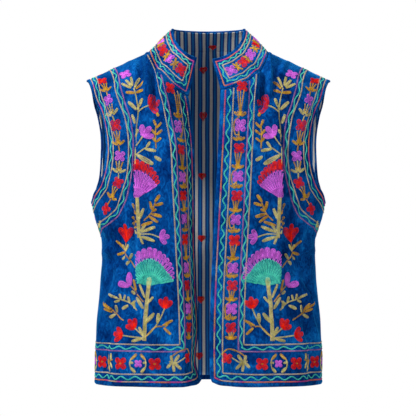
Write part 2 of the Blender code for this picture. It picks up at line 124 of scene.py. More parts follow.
def section(along, half_width, depth):
    """The point at a cloth distance round one quarter of a section."""
    along, half_width, depth = np.broadcast_arrays(*np.atleast_1d(along, half_width, depth))
    phi = (1 - np.cos(np.linspace(0, math.pi, 60))) * math.pi / 4
    power = 2 / RING_POWER
    xs = half_width[:, None] * np.sin(phi)[None] ** power
    ys = depth[:, None] * np.cos(phi)[None] ** power
    ys[:, -1] = 0.0
    run = np.zeros_like(xs)
    run[:, 1:] = np.cumsum(np.hypot(np.diff(xs), np.diff(ys)), axis=1)
    along = np.clip(along, 0, run[:, -1])
    k = np.clip((run <= along[:, None]).sum(1) - 1, 0, len(phi) - 2)
    n = np.arange(len(along))
    t = (along - run[n, k]) / (run[n, k + 1] - run[n, k])
    return (xs[n, k] + t * (xs[n, k + 1] - xs[n, k]),
            ys[n, k] + t * (ys[n, k + 1] - ys[n, k]))


def round_to(x, half_width, depth):
    """Cloth distance round a section from the centre line out to x."""
    phi = (1 - np.cos(np.linspace(0, math.pi, 400))) * math.pi / 4
    power = 2 / RING_POWER
    xs = half_width * np.sin(phi) ** power
    ys = depth * np.cos(phi) ** power
    ys[-1] = 0.0
    run = np.concatenate([[0], np.cumsum(np.hypot(np.diff(xs), np.diff(ys)))])
    return float(np.interp(x, xs, run))


def girth(height, face):
    low = min(height, ROLL_LINE)
    depth = smooth(low, FIGURE, 2 if face < 0 else 3)
    return round_to(1e9, smooth(low, FIGURE, 1), depth)


def roll_length(along, face):
    """Length of cloth from the roll line up to the shoulder ridge."""
    depth = smooth(ROLL_LINE, FIGURE, 2 if face < 0 else 3)
    x, y = section(along, smooth(ROLL_LINE, FIGURE, 1), depth)
    rise = ridge(np.minimum(along, TIP)) - ROLL_LINE
    return math.pi / 2 * np.sqrt((y ** 2 + rise ** 2) / 2)


def shoulder_up(x, face):
    """Height of the shoulder seam on the pattern."""
    return ROLL_LINE + float(roll_length(x, face)[0])


def body(across, up, face):
    """Lay a pattern point on the worn form. face: -1 front, +1 back."""
    across, up = np.broadcast_arrays(*np.atleast_1d(across, up))
    across, up = across.astype(float), up.astype(float)
    along = np.abs(across)
    low = np.minimum(up, ROLL_LINE)
    wide = smooth(low, FIGURE, 1)
    depth = smooth(low, FIGURE, 2 if face < 0 else 3)
    roll = np.clip((up - ROLL_LINE) / roll_length(along, face), 0, 1) * math.pi / 2
    power = 2 / ROLL_POWER
    x, y = section(along, wide, depth * np.cos(roll) ** power + 1e-6)
    z = low + (ridge(x) - ROLL_LINE) * np.sin(roll) ** power
    return np.stack([x * np.sign(across), face * y, z], axis=1)


def pattern(x, z, face):
    """Where a front view position lies on the cloth, as (across, up)."""
    if z <= ROLL_LINE:
        depth = smooth(z, FIGURE, 2 if face < 0 else 3)
        return round_to(x, smooth(z, FIGURE, 1), depth), z
    depth = smooth(ROLL_LINE, FIGURE, 2 if face < 0 else 3)
    lift = min(1.0, (z - ROLL_LINE) / (ridge(x) - ROLL_LINE))
    roll = math.asin(lift ** (ROLL_POWER / 2))
    depth = depth * math.cos(roll) ** (2 / ROLL_POWER) + 1e-6
    across = round_to(x, smooth(ROLL_LINE, FIGURE, 1), depth)
    return across, ROLL_LINE + roll / (math.pi / 2) * float(roll_length(across, face)[0])


# The folds of the worn cloth, from the long pleats down to small creases.
CREASES_FRONT = [  # side (0 both), foot across, foot up, head across, head up, width, lift
    (0, 89, 448, 91, 545, 7, -5.5),
    (0, 99, 470, 101, 575, 6, 3.2),
    (0, 80, 455, 80, 512, 6, 2.6),
    (1, 108, 478, 122, 590, 5, -2.2),
    (-1, 112, 486, 118, 585, 5, -2.0),
    (0, 118, 520, 138, 580, 6, 1.8),
    (0, 71, 450, 66, 498, 6, -1.8),
    (1, 58, 440, 54, 486, 6, 1.4),
    (0, 150, -10, 152, 70, 24, 3.0),
    (0, 186, 5, 192, 120, 17, -3.0),
    (1, 214, 56, 170, 150, 11, 2.0),
    (1, 222, 90, 168, 188, 10, -2.3),
    (1, 196, 84, 140, 118, 9, -1.6),
    (1, 206, 128, 150, 176, 10, 1.7),
    (-1, 216, 70, 164, 158, 12, 2.2),
    (-1, 224, 112, 172, 196, 10, -2.2),
    (-1, 190, 78, 144, 132, 10, -1.8),
    (-1, 178, 130, 142, 178, 9, 1.5),
    (0, 150, 240, 172, 330, 9, -1.7),
    (0, 196, 236, 184, 292, 10, 1.8),
    (1, 74, 84, 112, 128, 8, -0.9),
    (-1, 72, 92, 112, 140, 9, -0.9),
    (0, 66, 196, 104, 236, 9, -1.0),
    (1, 236, 206, 158, 214, 7, -3.2),
    (1, 238, 222, 164, 232, 7, 3.0),
    (1, 240, 236, 176, 252, 6, -2.6),
    (-1, 236, 200, 160, 210, 7, -3.0),
    (-1, 238, 218, 168, 226, 7, 3.2),
    (-1, 242, 232, 170, 246, 7, -2.8),
    (1, 246, 262, 196, 276, 9, 2.2),
    (-1, 248, 256, 200, 272, 9, 2.2),
    (0, 137, 205, 133, 300, 8, 2.0),
    (0, 147, 180, 152, 260, 9, -2.2),
    (1, 92, 20, 84, 88, 10, 1.4),
    (-1, 96, 30, 84, 110, 10, 1.6),
    (1, 78, 250, 96, 290, 8, -1.6),
    (-1, 76, 262, 100, 306, 8, -1.6),
    (0, 150, 330, 142, 400, 12, -1.8),
    (0, 166, 420, 150, 500, 12, 2.0),
    (0, 205, 330, 206, 450, 18, -2.0),
    (1, 30, 8, 31, 60, 9, 1.3),
    (1, 62, 10, 60, 48, 9, -1.2),
]
CREASES_BACK = [       # foot across, foot up, head across, head up, width, lift
    (-118, 90, -116, 440, 15, -4.0),
    (112, 110, 116, 425, 17, -4.5),
    (-98, 60, -92, 380, 12, 2.2),
    (94, 80, 90, 360, 13, 2.4),
    (-60, -10, -56, 190, 22, 3.0),
    (52, -10, 50, 220, 24, 3.5),
    (-230, 200, -150, 218, 8, -3.0),
    (-232, 216, -140, 238, 8, 3.0),
    (-226, 236, -170, 250, 7, -2.4),
    (230, 204, 146, 214, 8, -3.0),
    (232, 220, 150, 236, 7, 2.8),
    (228, 240, 176, 258, 7, -2.4),
    (-40, 214, 46, 222, 11, -2.6),
    (-66, 236, 30, 240, 10, 2.2),
    (-180, 60, -150, 150, 10, 2.2),
    (184, 50, 156, 140, 10, -2.2),
    (-30, 470, 34, 478, 14, 1.6),
    (-150, 470, -120, 560, 12, 1.8),
    (150, 462, 124, 556, 12, 1.8),
    (12, 490, 16, 546, 9, 1.4),
]


def crease(across, up, foot_across, foot_up, head_across, head_up, width, lift):
    """A soft ridge or trough along a line, dying out at both ends."""
    run = np.array([head_across - foot_across, head_up - foot_up], float)
    long = np.linalg.norm(run)
    run /= long
    t = (across - foot_across) * run[0] + (up - foot_up) * run[1]
    off = (across - foot_across) * -run[1] + (up - foot_up) * run[0]
    wander = width * 0.35 * np.sin(t / long * 5.0 + foot_across)
    ends = np.clip(np.minimum(t + width, long + width - t) / (2.2 * width), 0, 1)
    return lift * bump((off - wander) / (width * 1.5)) * ends ** 2 * (3 - 2 * ends)


def bump(t):
    t = np.clip(np.abs(t), 0, 1)
    return (1 - t * t) ** 2


PLEAT_HEIGHTS = np.array([line[0] for line in PLEAT_LINE])
PLEAT_ACROSS = np.array([pattern(x, h, -1)[0] for h, x in PLEAT_LINE])
PLEAT_MIDDLE, PLEAT_REACH = 285, 190            # the pleat is deepest here and dies out past this
PLEAT_RIDGE, PLEAT_TROUGH, PLEAT_RUMPLE = 4.5, -5.5, 1.5
FOLD_HEIGHTS, FOLD_DEPTHS = (150, 200), (2.9, 2.1)      # the skirt of the front folds deeper
BACK_DEPTH = 1.3
SEAM_FADE, SHOULDER_FADE = 60, 45               # folds die out this near to a seam
GIRTH_HEIGHTS = np.linspace(0, UNDERARM, 40)
GIRTHS = {face: np.array([girth(h, face) for h in GIRTH_HEIGHTS]) for face in (-1, 1)}
SHOULDER_ACROSS = np.linspace(NECK_POINT, TIP, 12)
SHOULDER_UPS = {face: np.array([shoulder_up(x, face) for x in SHOULDER_ACROSS]) for face in (-1, 1)}


def pleats(across, up, face, hand):
    """How far the pleats and creases lift the cloth off the form."""
    lift = np.zeros_like(across)
    along = np.abs(across)
    if face < 0:
        side = along - np.interp(up, PLEAT_HEIGHTS, PLEAT_ACROSS)
        hold = bump((up - PLEAT_MIDDLE) / PLEAT_REACH) ** 0.5
        lift += hold * np.where(side < 0, PLEAT_RIDGE * bump((side + 3.5) / 24),
                                PLEAT_TROUGH * bump((side - 4.5) / 28))
        lift += hold * PLEAT_RUMPLE * np.sin(up / 17.0 + hand) * bump((side - 14) / 14)
        for only, *line in CREASES_FRONT:
            if only in (0, hand):
                lift += np.interp(up, FOLD_HEIGHTS, FOLD_DEPTHS) * crease(along, up, *line)
    else:
        for line in CREASES_BACK:
            lift += BACK_DEPTH * crease(across, up, *line)
    side_seam = np.interp(up, GIRTH_HEIGHTS, GIRTHS[face])
    lift *= np.clip((side_seam - along) / SEAM_FADE + (up > UNDERARM), 0.02, 1) ** 1.6
    shoulder_seam = np.interp(along, SHOULDER_ACROSS, SHOULDER_UPS[face])
    lift *= np.clip((shoulder_seam - up) / SHOULDER_FADE, 0.05, 1)
    # nothing woven lies quite flat
    lift += 0.45 * np.sin(across / 13.0 + 2.1 * np.sin(up / 31.0)) * np.sin(up / 19.0 + np.sin(across / 23.0))
    return lift


EASE_REACH, EASE_STEP = 45, 13


def eased(across, up, face):
    """The form with its bend at the roll line eased."""
    here = body(across, up, face)
    close = np.abs(up - ROLL_LINE) < EASE_REACH
    if close.any():
        a, u = across[close], up[close]
        soft = (body(a, u - EASE_STEP, face) + body(a, u + EASE_STEP, face)) / 2 - here[close]
        here[close] += soft * 0.6 * bump((u - ROLL_LINE) / EASE_REACH)[:, None]
    return here


def cloth(across, up, face, hand=1):
    """Pattern point to worn position, with folds and the turned right band."""
    across, up = np.broadcast_arrays(*np.atleast_1d(across, up))
    across, up = across.astype(float), up.astype(float)

    def folded(a, up=up):
        step = 0.5
        here = eased(a, up, face)
        right = body(a + step, up, face) - body(a - step, up, face)
        top = body(a, up + step, face) - body(a, up - step, face)
        out = np.cross(right, top) * -face
        out /= np.linalg.norm(out, axis=1)[:, None] + 1e-12
        return here + out * pleats(a, up, face, hand)[:, None], out

    if face > 0 or hand > 0:
        return folded(across)[0]
    turn = smooth(up, TURN_RIGHT, 1)
    beta = np.radians(smooth(up, TURN_RIGHT, 2))
    free = np.maximum(turn + across, 0)                  # cloth past the turn line
    held = np.where(free > 0, -turn, across)
    here, out = folded(held)
    toward = eased(held + 0.5, up, face) - eased(held, up, face)
    if free.any():          # the turned band swings evenly from row to row
        loose = free > 0
        for step in (-30, -15, 15, 30):     # so its directions are averaged up and down
            level = np.clip(up[loose] + step, 0, None)
            out[loose] += folded(held[loose], level)[1]
            toward[loose] += eased(held[loose] + 0.5, level, face) - eased(held[loose], level, face)
        out /= np.linalg.norm(out, axis=1)[:, None]
    toward /= np.linalg.norm(toward, axis=1)[:, None]
    bend = np.minimum(free, TURN_RADIUS * beta)
    angle = bend / TURN_RADIUS
    rest = (free - bend)
    return here + toward * (TURN_RADIUS * np.sin(angle) + rest * np.cos(beta))[:, None] \
        - out * (TURN_RADIUS * (1 - np.cos(angle)) + rest * np.sin(beta))[:, None]


def curve(points, count=240):
    """A smooth line through a few points, evenly spaced."""
    p = np.array(points, float)
    q = np.vstack([2 * p[0] - p[1], p, 2 * p[-1] - p[-2]])
    out = []
    for a, b, c, d in zip(q[:-3], q[1:-2], q[2:-1], q[3:]):
        for t in np.linspace(0, 1, 24, endpoint=False):
            out.append(0.5 * (2*b + (c - a)*t + (2*a - 5*b + 4*c - d)*t*t + (3*b - a - 3*c + d)*t**3))
    out.append(p[-1])
    return spaced(np.array(out), np.linspace(0, 1, count))


def steps_of(line):
    return np.linalg.norm(np.diff(line, axis=0), axis=1)


def run_of(line):
    """Distance from the line's start at each of its points."""
    return np.concatenate([[0], np.cumsum(steps_of(line))])


def share(line):
    run = run_of(line)
    return run / run[-1]


def spaced(line, fractions):
    """Points at fractions of a line's length."""
    run = run_of(line)
    places = np.asarray(fractions) * run[-1]
    return np.stack([np.interp(places, run, line[:, k]) for k in range(line.shape[1])], axis=1)


def inset(line, distance):
    """A line moved to its left, its ends run on past the corners."""
    along = np.gradient(line, axis=0)
    along /= np.linalg.norm(along, axis=1)[:, None]
    moved = line + distance * np.stack([-along[:, 1], along[:, 0]], axis=1)
    return np.vstack([moved[0] - along[0] * 2 * distance, moved, moved[-1] + along[-1] * 2 * distance])


def corner(first, second):
    """Where two dense lines cross: a place on each."""
    a, b = spaced(first, np.linspace(0, 1, 1200)), spaced(second, np.linspace(0, 1, 1200))
    gap = np.linalg.norm(a[:, None] - b[None], axis=2)
    i, j = np.unravel_index(np.argmin(gap), gap.shape)
    return i / (len(a) - 1), j / (len(b) - 1)


def between(line, start, stop, fractions=np.linspace(0, 1, 400)):
    return spaced(line, start + (stop - start) * np.asarray(fractions))


def nearest(points, line):
    line = spaced(line, np.linspace(0, 1, 2400))
    gap = np.linalg.norm(points[:, None] - line[None], axis=2)
    return line[np.argmin(gap, axis=1)]


def coons(left, right, low, high):
    """Fill a four-sided patch from its edges."""
    u = (share(low) + share(high)) / 2
    v = (share(left) + share(right)) / 2
    u, v = u[None, :, None], v[:, None, None]
    return ((1 - u) * left[:, None] + u * right[:, None] + (1 - v) * low[None] + v * high[None]
            - (1 - u) * (1 - v) * low[0] - u * (1 - v) * low[-1]
            - (1 - u) * v * high[0] - u * v * high[-1])


def half_piece(face, edge, neck, guides):
    """Pattern lattice of one half piece, drawn on the +X side.

    edge runs up the centre, neck on to the shoulder. guides are lines up the
    piece, as (line or None for the neck point, height of its underarm row,
    shares of the strip between it and the one before). The outermost ring of
    the lattice is the turned-in margin.
    """
    quarter = girth(UNDERARM, face)
    places = [pattern(x, z, face) for x, z in (ARMHOLE_FRONT if face < 0 else ARMHOLE_BACK)]
    tip = (TIP, shoulder_up(TIP, face))
    arm = curve([(quarter, UNDERARM), (quarter - 15, UNDERARM + 1.0),
                 (quarter - 29, UNDERARM + 5.0)] + places + [tip])
    seam = np.array([(girth(h, face), h) for h in np.linspace(0, UNDERARM, 80)])
    shoulder = np.array([(x, shoulder_up(x, face)) for x in np.linspace(NECK_POINT, TIP, 60)])
    foot = edge[0]
    if face < 0:        # the corner is rounded, and the hem falls away from it
        hem = curve([foot, foot + (10.6, -4.4), foot + (24, -6.2), foot + (60, -foot[1]),
                     (150.0, 0.0), seam[0]])
        edge_in = inset(edge[::-1], MARGIN)[::-1]
    else:
        hem = np.array([foot, seam[0]])
        edge_in = edge
    hem_dense = spaced(hem, np.linspace(0, 1, 240))
    hem_in, seam_in, arm_in = (inset(line, MARGIN) for line in (hem_dense, seam, arm))
    neck_in, shoulder_in = (inset(line[::-1], MARGIN)[::-1] for line in (neck, shoulder))

    edge_lo, hem_start = corner(edge_in, hem_in)
    edge_hi, neck_start = corner(edge_in, neck_in)
    neck_end, shoulder_start = corner(neck_in, shoulder_in)
    shoulder_end, arm_end = corner(shoulder_in, arm_in)
    arm_start, seam_end = corner(arm_in, seam_in)
    seam_start, hem_end = corner(seam_in, hem_in)

    def stack(line, row_height):
        under_share = np.interp(row_height, line[:, 1], np.linspace(0, 1, len(line)))
        low_rows = under_share * ROWS_LOW
        high_rows = under_share + (1 - under_share) * ROWS_HIGH[1:]
        return spaced(line, np.concatenate([low_rows, high_rows]))

    stacks = [stack(between(edge_in, edge_lo, edge_hi), UNDERARM_ROWS[0])]
    feet, heads = [hem_start], [neck_start]
    for line, row_height, _ in guides[:-1]:
        if callable(line):
            line = line(between(neck_in, neck_end, neck_end, [0])[0])
        lo, foot_share = corner(line, hem_in)
        hi, head_share = corner(line, neck_in)
        stacks.append(stack(between(line, lo, hi), row_height))
        feet.append(foot_share)
        heads.append(head_share)
    heads[-1] = neck_end
    stacks.append(np.vstack([between(seam_in, seam_start, seam_end, ROWS_LOW),
                             between(arm_in, arm_start, arm_end, ROWS_HIGH[1:])]))
    feet.append(hem_end)

    strips = []
    for k, (_, _, shares) in enumerate(guides):
        low = between(hem_in, feet[k], feet[k + 1], shares)
        high = between(neck_in, heads[k], heads[k + 1], shares) if k < len(guides) - 1 \
            else between(shoulder_in, shoulder_start, shoulder_end, shares)
        low[0], low[-1] = stacks[k][0], stacks[k + 1][0]
        high[0], high[-1] = stacks[k][-1], stacks[k + 1][-1]
        patch = coons(stacks[k], stacks[k + 1], low, high)
        strips.append(patch if k == 0 else patch[:, 1:])
    inner = np.concatenate(strips, axis=1)

    rows, cols = inner.shape[:2]
    under = len(ROWS_LOW) - 1
    point = cols - len(guides[-1][2])       # column that meets the neck point
    grid = np.zeros((rows + 2, cols + 2, 2))
    grid[1:-1, 1:-1] = inner
    grid[0, 1:-1] = nearest(inner[0], hem)
    grid[-1, 1:1 + point] = nearest(inner[-1, :point], neck)
    grid[-1, 1 + point] = neck[-1]
    grid[-1, 2 + point:-1] = nearest(inner[-1, point + 1:], shoulder)
    grid[1:1 + under, -1] = nearest(inner[:under, -1], seam)
    grid[1 + under, -1] = arm[0]
    grid[2 + under:-1, -1] = nearest(inner[under + 1:, -1], arm)
    grid[1:-1, 0] = nearest(inner[:, 0], edge)
    grid[0, 0], grid[0, -1], grid[-1, 0], grid[-1, -1] = hem[0], hem[-1], neck[0], tip
    lines = dict(edge=edge, hem=hem, neck=neck, seam=seam, arm=arm)
    if face > 0:
        return grid[:, 1:], under + 1, point, lines
    return grid, under + 1, point + 1, lines


def finer(shares, parts):
    """Each step of a row of shares cut into equal parts."""
    at = np.arange(len(shares))
    return np.interp(np.arange((len(shares) - 1) * parts + 1) / parts, at, shares)


ROWS_LOW = finer([0, .13, .27, .41, .55, .68, .79, .90, 1], 6)
ROWS_HIGH = finer([0, .08, .17, .28, .41, .55, .70, .85, 1], 6)
UNDERARM_ROWS = (266.0, 272.0, 288.0)   # height of the underarm row at edge, turn and pleat
RING = 3                                # lattice steps across the turned-in margin


def ringed(grid):
    """The lattice with its margin ring cut into finer steps."""
    for axis in (0, 1):
        count = grid.shape[axis]
        places = np.sort(np.concatenate([[0, 1 / 3, 2 / 3], np.arange(1, count - 1),
                                         [count - 5 / 3, count - 4 / 3, count - 1]]))
        low = np.minimum(np.floor(places).astype(int), count - 2)
        t = (places - low).reshape((-1, 1, 1) if axis == 0 else (1, -1, 1))
        grid = np.take(grid, low, axis) * (1 - t) + np.take(grid, low + 1, axis) * t
    return grid


def front_piece(hand):
    """A front's lattice: edge band, pleat and side, with a rounded corner."""
    heights = np.linspace(19, 500, 120)
    run = smooth(heights, EDGE_LEFT, 1) if hand > 0 else smooth(heights, TURN_RIGHT, 1) - BORDER
    bend = np.radians(np.linspace(225, 180, 12)[:-1])
    edge = np.vstack([np.stack([run[0] + 15 + 15 * np.cos(bend), 19 + 15 * np.sin(bend)], axis=1),
                      np.stack([run, heights], axis=1)])
    neck = curve([pattern(x, z, -1) for x, z in NECK_FRONT[::-1]]
                 + [(NECK_POINT, shoulder_up(NECK_POINT, -1))])
    if run[-1] < NECK_FRONT[-1][0]:
        neck = np.vstack([[(run[-1], neck[0][1])], neck])
    top, start = corner(edge, neck)
    turn = inset(edge[12:][::-1], BORDER)[::-1]

    def pleat(neck_point):      # past the pleat's head it swings out to the neck point
        return curve(list(zip(PLEAT_ACROSS, PLEAT_HEIGHTS))[:4]
                     + [(122.0, 430.0), (119.5, 490.0), (116.5, 548.0), neck_point])

    return half_piece(-1, between(edge, 0, top), between(neck, start, 1), [
        (turn, UNDERARM_ROWS[1], finer([0, .28, .55, .80, 1], 5)),
        (pleat, UNDERARM_ROWS[2], finer([0, .22, .44, .66, .84, .94, 1], 5)),
        (None, 0, finer([0, .08, .2, .37, .56, .78, 1], 6)),
    ])


def back_piece():
    """The back's lattice, both halves in one piece."""
    neck = curve([pattern(x, z, 1) for x, z in NECK_BACK[::-1]]
                 + [(NECK_POINT, shoulder_up(NECK_POINT, 1))])
    edge = np.stack([np.zeros(100), np.linspace(0, neck[0][1], 100)], axis=1)

    def neck_line(neck_point):
        return curve([(84.0, -4.0), (88.0, 280.0), neck_point])

    grid, under, point, lines = half_piece(1, edge, neck, [
        (neck_line, 292.0, finer([0, .25, .5, .75, 1], 6)),
        (None, 0, finer([0, .2, .4, .6, .8, 1], 7)),
    ])
    left = grid[:, :0:-1] * (-1, 1)
    cols = left.shape[1]
    return np.concatenate([left, grid], axis=1), under, (cols - point, cols + point), lines


def outward(grid, turn):
    """Outward direction at every lattice point."""
    n = np.cross(np.gradient(grid, axis=1), np.gradient(grid, axis=0)) * turn
    return n / np.linalg.norm(n, axis=2)[:, :, None]


def shell(name, piece, outer, inner, keep, paint, skin=None):
    """A closed sheet of cloth between two depths below its lattice.

    skin lifts the outer face a little, point by point. The pattern is kept as
    the UV map, in metres, so the stripes follow the cut.
    """
    worn, out, flat, turn = piece["worn"], piece["out"], piece["flat"], piece["turn"]
    rows, cols = worn.shape[:2]
    skin = np.zeros((rows, cols)) if skin is None else skin
    top = worn - out * (outer - skin)[:, :, None] - NAPE
    low = worn - out * inner - NAPE
    number = np.full((2, rows, cols), -1)
    near = np.zeros((rows, cols), bool)
    for di in (0, 1):
        for dj in (0, 1):
            near[di:rows - 1 + di, dj:cols - 1 + dj] |= keep
    count = int(near.sum())
    number[0][near] = np.arange(count)
    number[1][near] = np.arange(count) + count
    verts = np.concatenate([top[near], low[near]]) * 0.001
    drawn = piece.get("grain", flat)
    uvs = np.concatenate([drawn[near], drawn[near]]) * 0.001
    i, j = np.nonzero(keep)
    a, b, c, d = number[:, i, j], number[:, i, j + 1], number[:, i + 1, j + 1], number[:, i + 1, j]
    faces = [np.stack([a[0], b[0], c[0], d[0]], 1), np.stack([a[1], d[1], c[1], b[1]], 1)]
    framed = np.pad(keep, 1)
    for (di, dj), (p, q) in {(-1, 0): (a, b), (0, 1): (b, c), (1, 0): (c, d), (0, -1): (d, a)}.items():
        rim = ~framed[i + 1 + di, j + 1 + dj]
        faces.append(np.stack([q[0], p[0], p[1], q[1]], 1)[rim])
    faces = np.concatenate(faces)
    if turn < 0:
        faces = faces[:, ::-1]
    mesh = bpy.data.meshes.new(name)
    mesh.from_pydata(verts.tolist(), [], faces.tolist())
    layer = mesh.uv_layers.new(name="cut")
    index = np.empty(len(mesh.loops), int)
    mesh.loops.foreach_get("vertex_index", index)
    layer.data.foreach_set("uv", uvs[index].astype(np.float32).ravel())
    mesh.polygons.foreach_set("use_smooth", np.ones(len(mesh.polygons), bool))
    mesh.materials.append(paint)
    thing = bpy.data.objects.new(name, mesh)
    bpy.context.scene.collection.objects.link(thing)
    return thing


def cut_area(piece, keep):
    """Flat area of the kept cells, in square metres."""
    p = piece["flat"] * 0.001
    one, two = p[1:, 1:] - p[:-1, :-1], p[1:, :-1] - p[:-1, 1:]
    return float(np.abs(one[..., 0] * two[..., 1] - one[..., 1] * two[..., 0])[keep].sum() / 2)


def cut_size(piece):
    span = (piece["flat"].reshape(-1, 2).max(0) - piece["flat"].reshape(-1, 2).min(0)) * 0.001
    return tuple(float(s) for s in span)


pieces = {}
for name, hand in (("front_right", -1), ("front_left", 1)):
    flat, under, point, lines = front_piece(hand)
    flat = ringed(flat)
    worn = cloth(flat[..., 0].ravel() * hand, flat[..., 1].ravel(), -1, hand)
    pieces[name] = dict(flat=flat, worn=worn.reshape(flat.shape[:2] + (3,)), under=under + 2, point=point + 2,
                        face=-1, turn=hand, lines=lines)
flat, under, point, lines = back_piece()
flat = ringed(flat)
worn = cloth(flat[..., 0].ravel(), flat[..., 1].ravel(), 1).reshape(flat.shape[:2] + (3,))
pieces["back_panel"] = dict(flat=flat, worn=worn, under=under + 2, point=(point[0] + 2, point[1] + 2),
                            face=1, turn=-1, lines=lines)

SEAM_SLIT = 0.03                    # half of the slit left between two sewn pieces
for piece in pieces.values():       # trim the seams, walls square to them
    worn, face, point = piece["worn"], piece["face"], piece["point"]
    out = outward(worn, piece["turn"])
    out[..., 1] *= np.clip((np.abs(worn[..., 1]) - 0.5) / 12, 0, 1)
    piece["out"] = out / np.linalg.norm(out, axis=2)[:, :, None]
    low = slice(0, piece["under"] + 1)
    if face < 0:
        worn[low, -1, 1] = worn[-1, point:, 1] = -SEAM_SLIT
    else:
        worn[low, -1, 1] = worn[low, 0, 1] = SEAM_SLIT
        worn[-1, :point[0] + 1, 1] = worn[-1, point[1]:, 1] = SEAM_SLIT

# ---------------------------------------------------------------- the stand collar
# One curved band of the same velvet, sewn to the neck edge and leaning in to
# the throat. Its ends stay open, and the right end sits deeper with its front.
COLLAR_BOW = 1.6        # the collar bellies out a little
COLLAR_STIR = 0.5       # and is a little uneven along its length
NECK_JOIN = 1.0         # it starts this far along its own slope
COLLAR_TOP = dict(half_width=59.0, centre=-12.0, front=62.0, back=35.0,
                  side_height=595.0, back_drop=2.5, front_drop=54.0)
COLLAR_ENDS = dict(right=70.7, left=84.0)   # degrees past the side
COLLAR_CURL = 14.0      # the right end sits deeper, with its front
CURL_START, CURL_SPAN = 105, 55             # degrees from the back, on the right
right, left, back = pieces["front_right"], pieces["front_left"], pieces["back_panel"]
seat = [(right, j) for j in range(right["point"])] + \
       [(back, j) for j in range(back["point"][0], back["point"][1] + 1)] + \
       [(left, j) for j in range(left["point"] - 1, -1, -1)]
base = np.array([piece["worn"][-1, j] for piece, j in seat])
first, last = right["point"], len(seat) - 1 - left["point"]

angle = np.concatenate([
    -90 - COLLAR_ENDS["right"] * (1 - share(base[:first + 1]))[:-1],
    -90 + 180 * share(base[first:last + 1]),
    (90 + COLLAR_ENDS["left"] * share(base[last:]))[1:]])
round_neck = np.radians(angle)                # 0 at the back, +90 at the left side
ahead = -np.cos(round_neck)
top = np.stack([
    COLLAR_TOP["half_width"] * np.sin(round_neck),
    COLLAR_TOP["centre"] - np.where(ahead > 0, COLLAR_TOP["front"], COLLAR_TOP["back"]) * ahead
    + np.where(angle < 0, COLLAR_CURL * np.clip((-angle - CURL_START) / CURL_SPAN, 0, 1) ** 2, 0),
    COLLAR_TOP["side_height"]
    - np.where(ahead > 0, COLLAR_TOP["front_drop"], -COLLAR_TOP["back_drop"]) * ahead], axis=1)
slope = top - base
slope /= np.linalg.norm(slope, axis=1)[:, None]
start = base + slope * NECK_JOIN
LEVELS = np.array([0, .03, .08, .15, .23, .32, .42, .53, .64, .75, .84, .91, .94, .97, 1.0])
band = start[None] + LEVELS[:, None, None] * (top - start)[None]
lean = outward(band, -1)
stir = COLLAR_STIR * np.sin(np.arange(len(seat)) / 5.3)[None] * np.sin(LEVELS * 6.0)[:, None]
band += lean * (COLLAR_BOW * 4 * LEVELS * (1 - LEVELS))[:, None, None] + lean * stir[:, :, None]
lean = outward(band, -1)
for k, (piece, j) in enumerate(seat):         # both walls meet on one mitre
    mitre = piece["out"][-1, j] + lean[0, k]
    mitre /= np.linalg.norm(mitre)
    piece["out"][-1, j] = lean[0, k] = mitre
left["out"][-1, left["point"]] = back["out"][-1, back["point"][1]]
right["out"][-1, right["point"]] = back["out"][-1, back["point"][0]]
mean_run = run_of((base + top) / 2)
COLLAR_TALL = float(np.linalg.norm(top - start, axis=1).mean())
collar = dict(flat=np.stack(np.broadcast_arrays(mean_run[None], (LEVELS * COLLAR_TALL)[:, None]), axis=2),
              worn=band, out=lean, turn=-1)

# ---------------------------------------------------------------- velvet
# Cotton pile, crushed in the wash, so it lies dark and bright in patches. Part of
# that mottling is painted shade and painted highlight: the broad patches and the
# ramp's darkest and brightest stops stand in for the shade in soft folds and their
# lit edges. The sheen catches the light at every edge. The bands are rolled and
# topstitched.
def shades(tree, fac, stops, plain=False):
    ramp = tree.nodes.new("ShaderNodeValToRGB")
    ramp.color_ramp.interpolation = "CONSTANT" if plain else "LINEAR"
    while len(ramp.color_ramp.elements) < len(stops):
        ramp.color_ramp.elements.new(0.5)
    for element, (at, colour) in zip(ramp.color_ramp.elements, stops):
        element.position = at
        element.color = (*colour, 1)
    tree.links.new(fac, ramp.inputs["Fac"])
    return ramp.outputs["Color"]


def cloudy(tree, where, scale, detail=3.0, rough=0.55, twist=0.0):
    node = tree.nodes.new("ShaderNodeTexNoise")
    node.inputs["Scale"].default_value = scale
    node.inputs["Detail"].default_value = detail
    node.inputs["Roughness"].default_value = rough
    node.inputs["Distortion"].default_value = twist
    tree.links.new(where, node.inputs["Vector"])
    return node.outputs["Fac"]


def math_node(tree, action, one, two):
    node = tree.nodes.new("ShaderNodeMath")
    node.operation = action
    for socket, value in zip(node.inputs, (one, two)):
        if isinstance(value, (int, float)):
            socket.default_value = value
        else:
            tree.links.new(value, socket)
    return node.outputs[0]


def raised(tree, height, strength, distance, under=None):
    node = tree.nodes.new("ShaderNodeBump")
    node.inputs["Strength"].default_value = strength
    node.inputs["Distance"].default_value = distance
    tree.links.new(height, node.inputs["Height"])
    if under is not None:
        tree.links.new(under, node.inputs["Normal"])
    return node.outputs["Normal"]


def new_paint(name):
    paint = bpy.data.materials.new(name)
    paint.use_nodes = True
    tree = paint.node_tree
    where = tree.nodes.new("ShaderNodeTexCoord")
    return paint, tree, tree.nodes["Principled BSDF"], where


SMALL_SHARE = 0.56      # of the mottling, beside the broad patches
# this ramp runs from painted shade in the folds to painted highlight on their lit edges, over the pile's own
# crushed tones
VELVET_CRUSH_AND_PAINTED_SHADE = [(0.33, (0.0003, 0.008, 0.058)), (0.43, (0.0006, 0.021, 0.120)),
                 (0.50, (0.0010, 0.040, 0.190)), (0.57, (0.002, 0.075, 0.300)), (0.67, (0.006, 0.160, 0.470))]


